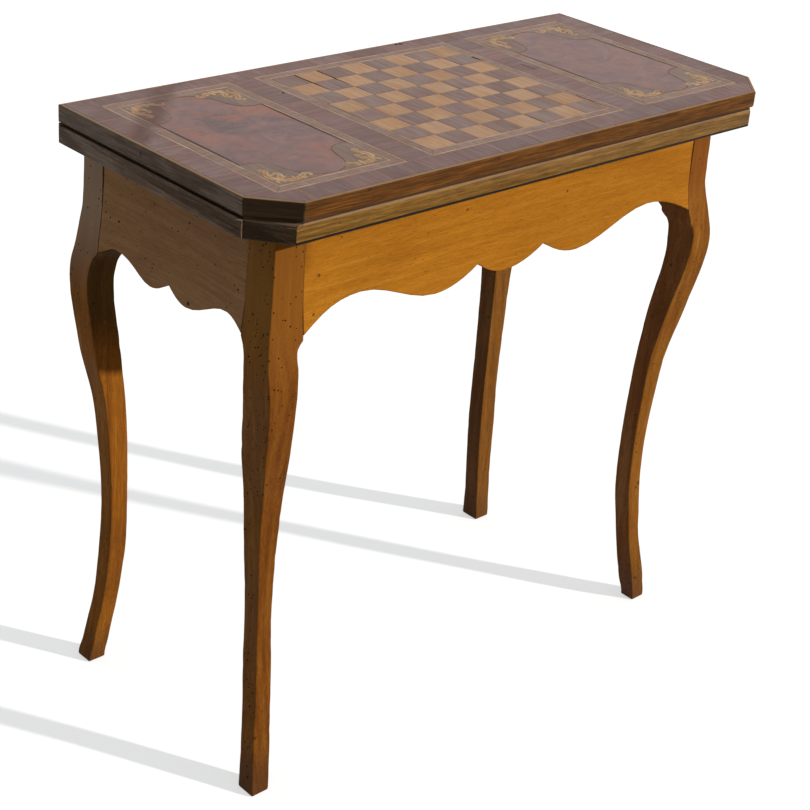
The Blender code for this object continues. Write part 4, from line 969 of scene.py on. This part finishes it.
def shapedLeg(name, body):  # the sawn leg, spokeshaved smooth, its arrises rubbed round and its foot worn
    sections = sawnSections(name)
    lines = [[(section[0], section[side]) for section in sections] for side in (1, 2, 3, 4)]
    outerX = 0 if "left" in name else 1
    outerY = 0 if "front" in name else 1
    shape = legShape[name]
    step, top = legShape["step"], sections[-1][0]
    heights = [0.0, 0.0007, 0.002] + [0.006 + i * step for i in range(int((top - 0.008) / step))] + [top]
    work = bmesh.new()
    rings = []
    for z in heights:
        x0, x1, y0, y1 = (eased(line, z) for line in lines)
        grow = legShape["grow"] * min(1.0, max(0.0, (kneeTop - z) / 0.02))
        ends = {"innerX": [x0 - grow, x1 + grow], "innerY": [y0 - grow, y1 + grow]}
        for key, outer in (("innerX", outerX), ("innerY", outerY)):
            if key in shape:
                ends[key][1 - outer] += eased(shape[key], z) * (1 if outer == 0 else -1)
        (x0, x1), (y0, y1) = ends["innerX"], ends["innerY"]
        x0, x1 = max(x0, cadBox[0][0]), min(x1, cadBox[1][0])
        y0, y1 = max(y0, cadBox[0][1]), min(y1, cadBox[1][1])
        foot = {0.0: legShape["footRound"], 0.0007: legShape["footRound"] * 0.35}.get(z, 0.0)
        ring = []
        for k, (cornerX, cornerY) in enumerate(((0, 0), (1, 0), (1, 1), (0, 1))):
            wear = noise.noise(Vector((cornerX * 7.3 + len(name), cornerY * 5.1, z * 55)))
            radius = legShape["arris"] + legShape["uneven"] * (wear + max(0.0, wear - 0.35) * 3)
            if z > kneeTop - 0.004 and (cornerX, cornerY) != (outerX, outerY):
                radius = legShape["jointArris"]
            if "innerCorner" in shape and cornerX != outerX and cornerY != outerY:
                radius = max(radius, eased(shape["innerCorner"], z))
            inset = radius + foot * (1 + 0.6 * noise.noise(Vector((k * 3.7, z * 900, len(name)))))
            middleX = x1 - inset if cornerX else x0 + inset
            middleY = y1 - inset if cornerY else y0 + inset
            for turn in range(4):
                angle = math.radians(180 + 90 * k + 30 * turn)
                spot = (middleX + radius * math.cos(angle), middleY + radius * math.sin(angle), z)
                ring.append(work.verts.new(spot))
        rings.append(ring)
    for below, above in zip(rings, rings[1:]):
        for i in range(16):
            j = (i + 1) % 16
            work.faces.new((below[i], below[j], above[j], above[i]))
    work.faces.new(rings[0][::-1])
    work.faces.new(rings[-1])
    bmesh.ops.recalc_face_normals(work, faces=work.faces)
    first, second = name.split("_")[:2]
    mesh = meshOf(work, name + "Shaped", nodes[name].data.materials[0])
    piece = settle(mesh, first + second.title() + "LegShaped", body, "leg_walnut", name)
    smoothed(piece, 50)
    return piece


legPieces = {}
for name in ("front_left_leg", "front_right_leg", "back_right_leg", "back_left_leg"):
    legPieces[name] = shapedLeg(name, "gate" if name == "back_left_leg" else "table")
for name in ("front_apron", "left_apron", "right_apron"):
    rubbedApron(name)
print("legs and aprons rubbed round")

# the lower leaf's edging hangs a little low, and its front corners have been worked back by hand

hung = {
    "topDown": 0.0022, "bottomDown": 0.0030, "left": (-0.0075, 0.0020), "right": (-0.0030, 0.0008),
    "setBack": 0.0011, "frontFace": -0.198, "cant": (0.7157, -0.6984, 0.3883), "leftEnd": -0.38,
    "frontPart": -0.19, "outerPart": 0.34,
}


def hungEdging(side):
    name = f"lower_leaf_lipping_{side}"
    low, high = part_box(name)
    alongX, alongY, limit = hung["cant"]
    work = bmesh.new()
    work.from_mesh(nodes[name].data)
    bmesh.ops.remove_doubles(work, verts=work.verts, dist=weldGap)
    for vertex in work.verts:
        place = vertex.co
        place.z -= hung["topDown"] if place.z > (low.z + high.z) / 2 else hung["bottomDown"]
        if side == "front":
            outer = place.y < hung["frontFace"]
        else:
            outer = "corner" in side and abs(place.x) * alongX + place.y * alongY > limit
        if outer and side == "left_corner" and place.x < hung["leftEnd"]:
            place.x += hung["setBack"]
            place.y += hung["setBack"]
        elif outer and place.y < hung["frontPart"] and abs(place.x) > hung["outerPart"]:
            dx, dy = hung["left" if place.x < 0 else "right"]
            place.x += dx
            place.y += dy
    mesh = meshOf(work, name + "Hung", nodes[name].data.materials[0])
    label = "lowerEdging" + "".join(word.title() for word in side.split("_"))
    smoothed(settle(mesh, label, "table", slotOf[name], name), 36, False)


for side in ("front", "left_corner", "right_corner", "left", "right"):
    hungEdging(side)
print("lower leaf's edging hung")

# woodworm holes, scattered by Geometry Nodes

worm = {  # piece, way that its face looks, holes in a square metre, lowest, highest, seed
    "front_left_leg": ("front_left_leg", (-1, 0, 0), 8800.0, 0.0, 0.70, 3),
    "front_left_post": ("front_left_leg", (0, -1, 0), 4600.0, 0.40, 0.70, 4),
    "back_left_leg": ("back_left_leg", (-1, 0, 0), 3600.0, 0.0, 0.70, 5),
    "front_right_leg": ("front_right_leg", (0, -1, 0), 700.0, 0.0, 0.70, 6),
    "left_apron": ("left_apron", (-1, 0, 0), 2000.0, 0.57, 0.70, 7),
    "front_right_side": ("front_right_leg", (-1, 0, 0), 1200.0, 0.0, 0.6, 8),
    "front_apron": ("front_apron", (0, -1, 0), 110.0, 0.57, 0.70, 9),
}
holeSize = {"Small": 0.0005, "Large": 0.0011}


def wormTree():
    tree, entry = nodeTree("wormHoles", Facing="Vector", Density="Float", Lowest="Float", Highest="Float",
                           Small="Float", Large="Float", Seed="Int", Finish="Material")
    seed = entry["Seed"]
    place = give(tree, "GeometryNodeInputPosition")
    height = split(place)[2]
    facing = vectors("DOT_PRODUCT", give(tree, "GeometryNodeInputNormal"), entry["Facing"], "Value")
    chosen = (facing > 0.8) * (height > entry["Lowest"]) * (height < entry["Highest"])
    kept = give(tree, "GeometryNodeSeparateGeometry", {0: entry["Geometry"], 1: chosen > 0.5}, domain="FACE")
    dense = entry["Density"] * spread(cloudy(place, 26, 2), 0.42, 0.62, 0.15, 1.6)
    points = put(tree, "GeometryNodeDistributePointsOnFaces", {"Mesh": kept, "Density": dense, "Seed": seed},
                 distribute_method="RANDOM").outputs
    hole = give(tree, "GeometryNodeMeshCylinder", {"Vertices": 10, "Radius": 1.0, "Depth": 0.12})
    sizes = {2: entry["Small"], 3: entry["Large"], "Seed": seed}
    size = give(tree, "FunctionNodeRandomValue", sizes, 1, data_type="FLOAT")
    feeds = {"Points": Flow(points[0]), "Instance": hole, "Rotation": Flow(points["Rotation"]), "Scale": size}
    plain = give(tree, "GeometryNodeRealizeInstances", {0: give(tree, "GeometryNodeInstanceOnPoints", feeds)})
    finished = give(tree, "GeometryNodeSetMaterial", {"Geometry": plain, "Material": entry["Finish"]})
    put(tree, "NodeGroupOutput", {0: finished})
    return tree


holeFinish, tree, shader = newFinish("wormHoleShade")
depth = cloudy(give(tree, "ShaderNodeTexCoord", None, "Object"), 900, 2)
shade = layer((14, 8, 5), depth, (36, 22, 13))
feed(shader, {"Base Color": shade, "Roughness": 0.95, "Specular IOR Level": 0.0})
holes = wormTree()
gathered = {"table": bmesh.new(), "gate": bmesh.new()}
for name, (node, facing, density, lowest, highest, seed) in worm.items():
    surface = link((legPieces[node] if node in legPieces else nodes[node]).data.copy(), name + "Surface")
    mesh = bake(surface, holes, name + "Holes", Facing=facing, Density=density, Lowest=lowest,
                Highest=highest, Seed=seed, Finish=holeFinish, **holeSize)
    gathered["gate" if node == "back_left_leg" else "table"].from_mesh(mesh)
for body, work in gathered.items():
    settle(meshOf(work, body + "WormHoles", holeFinish), body + "WormHoles", body, "leg_walnut")
print("woodworm holes scattered")

# hinge screws, placed by Geometry Nodes

hingeScrew = {"Radius": 0.0022, "Head": 0.0006, "Slot": 0.0005}
screwPlace = {"spacing": 0.015, "off": 0.009, "sunk": 0.35}


def screwTree():
    tree, entry = nodeTree("hingeScrews", Radius="Float", Head="Float", Slot="Float", Finish="Material",
                           Dirt="Material")
    disc = {"Vertices": 24, "Radius": entry["Radius"], "Depth": entry["Head"]}
    head = give(tree, "GeometryNodeMeshCylinder", disc)
    size = joined(tree, entry["Radius"] * 1.9, entry["Slot"], entry["Head"] * 1.06)
    slit = give(tree, "GeometryNodeMeshCube", {"Size": size})
    both = put(tree, "GeometryNodeJoinGeometry")
    for shape, finish in ((head, "Finish"), (slit, "Dirt")):
        dressed = give(tree, "GeometryNodeSetMaterial", {"Geometry": shape, "Material": entry[finish]})
        feed(both, {0: dressed})
    turn = give(tree, "FunctionNodeRandomValue", {2: 0.0, 3: 3.1, "Seed": 5}, 1, data_type="FLOAT")
    feeds = {"Points": entry["Geometry"], "Instance": Flow(both.outputs[0]),
             "Rotation": joined(tree, -math.pi / 2, turn)}
    laid = give(tree, "GeometryNodeInstanceOnPoints", feeds)
    put(tree, "NodeGroupOutput", {0: give(tree, "GeometryNodeRealizeInstances", {0: laid})})
    return tree


# painted shade and grime: a dark bar on each screw head stands in for its slot
slotShadeAndGrime = metalFinish("screwSlotDirt", (34, 26, 18), (22, 16, 12), 0.0, 0.8)
screws = screwTree()
axisZ = sum(corner.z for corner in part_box("hinge_left_pin")) / 2
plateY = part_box("upper_leaf_lipping_back")[1].y - hingeScrew["Head"] * screwPlace["sunk"]
for body, side, way in (("top_leaf", "upper", 1), ("table", "lower", -1)):
    points = []
    for hinge in ("left", "middle", "right"):
        middle = sum(corner.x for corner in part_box(f"hinge_{hinge}_{side}")) / 2
        height = axisZ + way * screwPlace["off"]
        points += [(middle + i * screwPlace["spacing"], plateY, height) for i in (-1, 0, 1)]
    start = bpy.data.meshes.new(side + "ScrewPoints")
    start.from_pydata(points, [], [])
    name = side + "HingeScrews"
    start = link(start, side + "ScrewPoints")
    mesh = bake(start, screws, name, Finish=brassFinish, Dirt=slotShadeAndGrime, **hingeScrew)
    settle(mesh, name, body, "brass")
print("hinge screws set")

# baize glued into the two meeting faces

baize = {"thick": 0.0008, "cell": 0.012, "glue": 0.00002, "ripple": 0.00004, "rim": 0.0003}
baizeFinish, tree, shader = newFinish("greenBaize")
where = give(tree, "ShaderNodeTexCoord", None, "Object")
fuzz = cloudy(where, 1500, 4, 0.7)
lint = cloudy(scaled(where, (500, 900, 500)), 1, 5, 0.75, 1.5)
cloth = layer((46, 82, 42), spread(cloudy(where, 7, 4, 0.6), 0.3, 0.75), (64, 92, 48))
cloth = layer(cloth, spread(fuzz, 0.45, 0.65) * 0.4, (30, 50, 28))
cloth = layer(cloth, spread(lint, 0.6, 0.7) * 0.35, (128, 136, 92))
feed(shader, {"Base Color": cloth, "Roughness": 0.95, "Specular IOR Level": 0.1, "Sheen Weight": 0.12,
              "Sheen Roughness": 0.5})
bumpy(shader, 0.5, 0.0003, fuzz + lint)


def baizeMesh(low, high, way):  # way is up, 1, or down, -1, from the wood that it is glued to
    wide, deep = high.x - low.x, high.y - low.y
    base = low.z + baize["glue"] if way > 0 else high.z - baize["glue"]
    columns, rows = round(wide / baize["cell"]), round(deep / baize["cell"])
    work = bmesh.new()
    face, glue = {}, {}
    for i in range(columns + 1):
        for j in range(rows + 1):
            x, y = low.x + wide * i / columns, low.y + deep * j / rows
            ripple = math.sin(x * 61 + 2 * math.sin(y * 23)) * math.sin(y * 47)
            lift = baize["thick"] + baize["ripple"] * ripple
            if i in (0, columns) or j in (0, rows):
                lift -= baize["rim"]
            face[i, j] = work.verts.new((x, y, base + way * lift))
            glue[i, j] = work.verts.new((x, y, base))
    for i in range(columns):
        for j in range(rows):
            square = ((i, j), (i + 1, j), (i + 1, j + 1), (i, j + 1))
            work.faces.new([face[spot] for spot in square])
            work.faces.new([glue[spot] for spot in reversed(square)])
    rim = [(i, 0) for i in range(columns)] + [(columns, j) for j in range(rows)]
    rim += [(i, rows) for i in range(columns, 0, -1)] + [(0, j) for j in range(rows, 0, -1)]
    for here, there in zip(rim, rim[1:] + rim[:1]):
        work.faces.new([glue[here], glue[there], face[there], face[here]])
    bmesh.ops.recalc_face_normals(work, faces=work.faces)
    return work


for side, body, way in (("lower", "table", 1), ("upper", "top_leaf", -1)):
    low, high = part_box(f"{side}_leaf_baize")
    mesh = meshOf(baizeMesh(low, high, way), side + "Baize", baizeFinish)
    piece = settle(mesh, side + "BaizeCloth", body, "baize", f"{side}_leaf_baize")
print("baize glued in")

# camera, lights and floor

photoView = {
    "right": (0.735629, -0.673198, 0.075195), "down": (-0.25736, -0.380445, -0.888272),
    "ahead": (0.626591, 0.634086, -0.453121), "stand": (-1.3926, -1.413092, 1.3683),
    "lens": 79.4356, "sensor_width": 36, "shift_x": -0.001642, "shift_y": -0.015272,
}
camera = link(bpy.data.cameras.new("photoCamera"), "photoCamera")
right, down, ahead = (Vector(photoView[way]) for way in ("right", "down", "ahead"))
turned = Matrix((right, -down, -ahead)).transposed().to_4x4()
camera.matrix_world = Matrix.Translation(photoView["stand"]) @ turned
for setting in ("lens", "sensor_width", "shift_x", "shift_y"):
    setattr(camera.data, setting, photoView[setting])
scene.camera = camera

light = {
    "toSun": (0.64, -1.0, 0.55), "sun": 2.75, "soft": 1.4, "sunColour": (1.0, 0.965, 0.91),
    "room": 0.32, "roomColour": (0.93, 0.97, 1.0, 1), "floorWide": 12,
    "floor": (0.78, 0.78, 0.78, 1), "bounce": (0.3, 0.3, 0.3, 1), "lift": 0.55,
}
sun = link(bpy.data.lights.new("softSun", "SUN"), "softSun")
sun.data.energy = light["sun"]
sun.data.angle = math.radians(light["soft"])
sun.data.color = light["sunColour"]
sun.rotation_mode = "QUATERNION"
sun.rotation_quaternion = Vector(light["toSun"]).to_track_quat("Z", "Y")


def shown(tree):  # 1 for the rays that see the background itself
    ray = put(tree, "ShaderNodeLightPath").outputs
    camera, glossy, clear = (Flow(ray[f"Is {kind} Ray"]) for kind in ("Camera", "Glossy", "Transmission"))
    return camera.calc("MAXIMUM", glossy).calc("MAXIMUM", clear)


scene.world = bpy.data.worlds.new("studio")
scene.world.use_nodes = True
tree = scene.world.node_tree
tree.nodes.clear()
roomLight = give(tree, "ShaderNodeBackground", {"Color": light["roomColour"], "Strength": light["room"]})
whiteView = give(tree, "ShaderNodeBackground", {"Color": (1, 1, 1, 1), "Strength": 1.0})
either = give(tree, "ShaderNodeMixShader", {0: shown(tree), 1: roomLight, 2: whiteView})
put(tree, "ShaderNodeOutputWorld", {"Surface": either})

floorFinish, tree, shader = newFinish("paleFloor")
seen = shown(tree)
feeds = {0: seen, 6: light["bounce"], 7: light["floor"]}  # dimmer for the light that it throws up
floorTone = give(tree, "ShaderNodeMix", feeds, 2, data_type="RGBA")
feed(shader, {"Base Color": floorTone, "Roughness": 0.9, "Specular IOR Level": 0.0})
lift = give(tree, "ShaderNodeEmission", {"Color": (1, 1, 1, 1), "Strength": seen * light["lift"]})
both = give(tree, "ShaderNodeAddShader", {0: Flow(shader.outputs[0]), 1: lift})
feed(tree.nodes["Material Output"], {"Surface": both})
wide = light["floorWide"]
floorMesh = bpy.data.meshes.new("studioFloor")
corners = [(-wide, -wide, 0), (wide, -wide, 0), (wide, wide, 0), (-wide, wide, 0)]
floorMesh.from_pydata(corners, [], [(0, 1, 2, 3)])
floorMesh.materials.append(floorFinish)
link(floorMesh, "studioFloor")
scene.view_settings.view_transform = "Standard"
print("camera, lights and floor set")
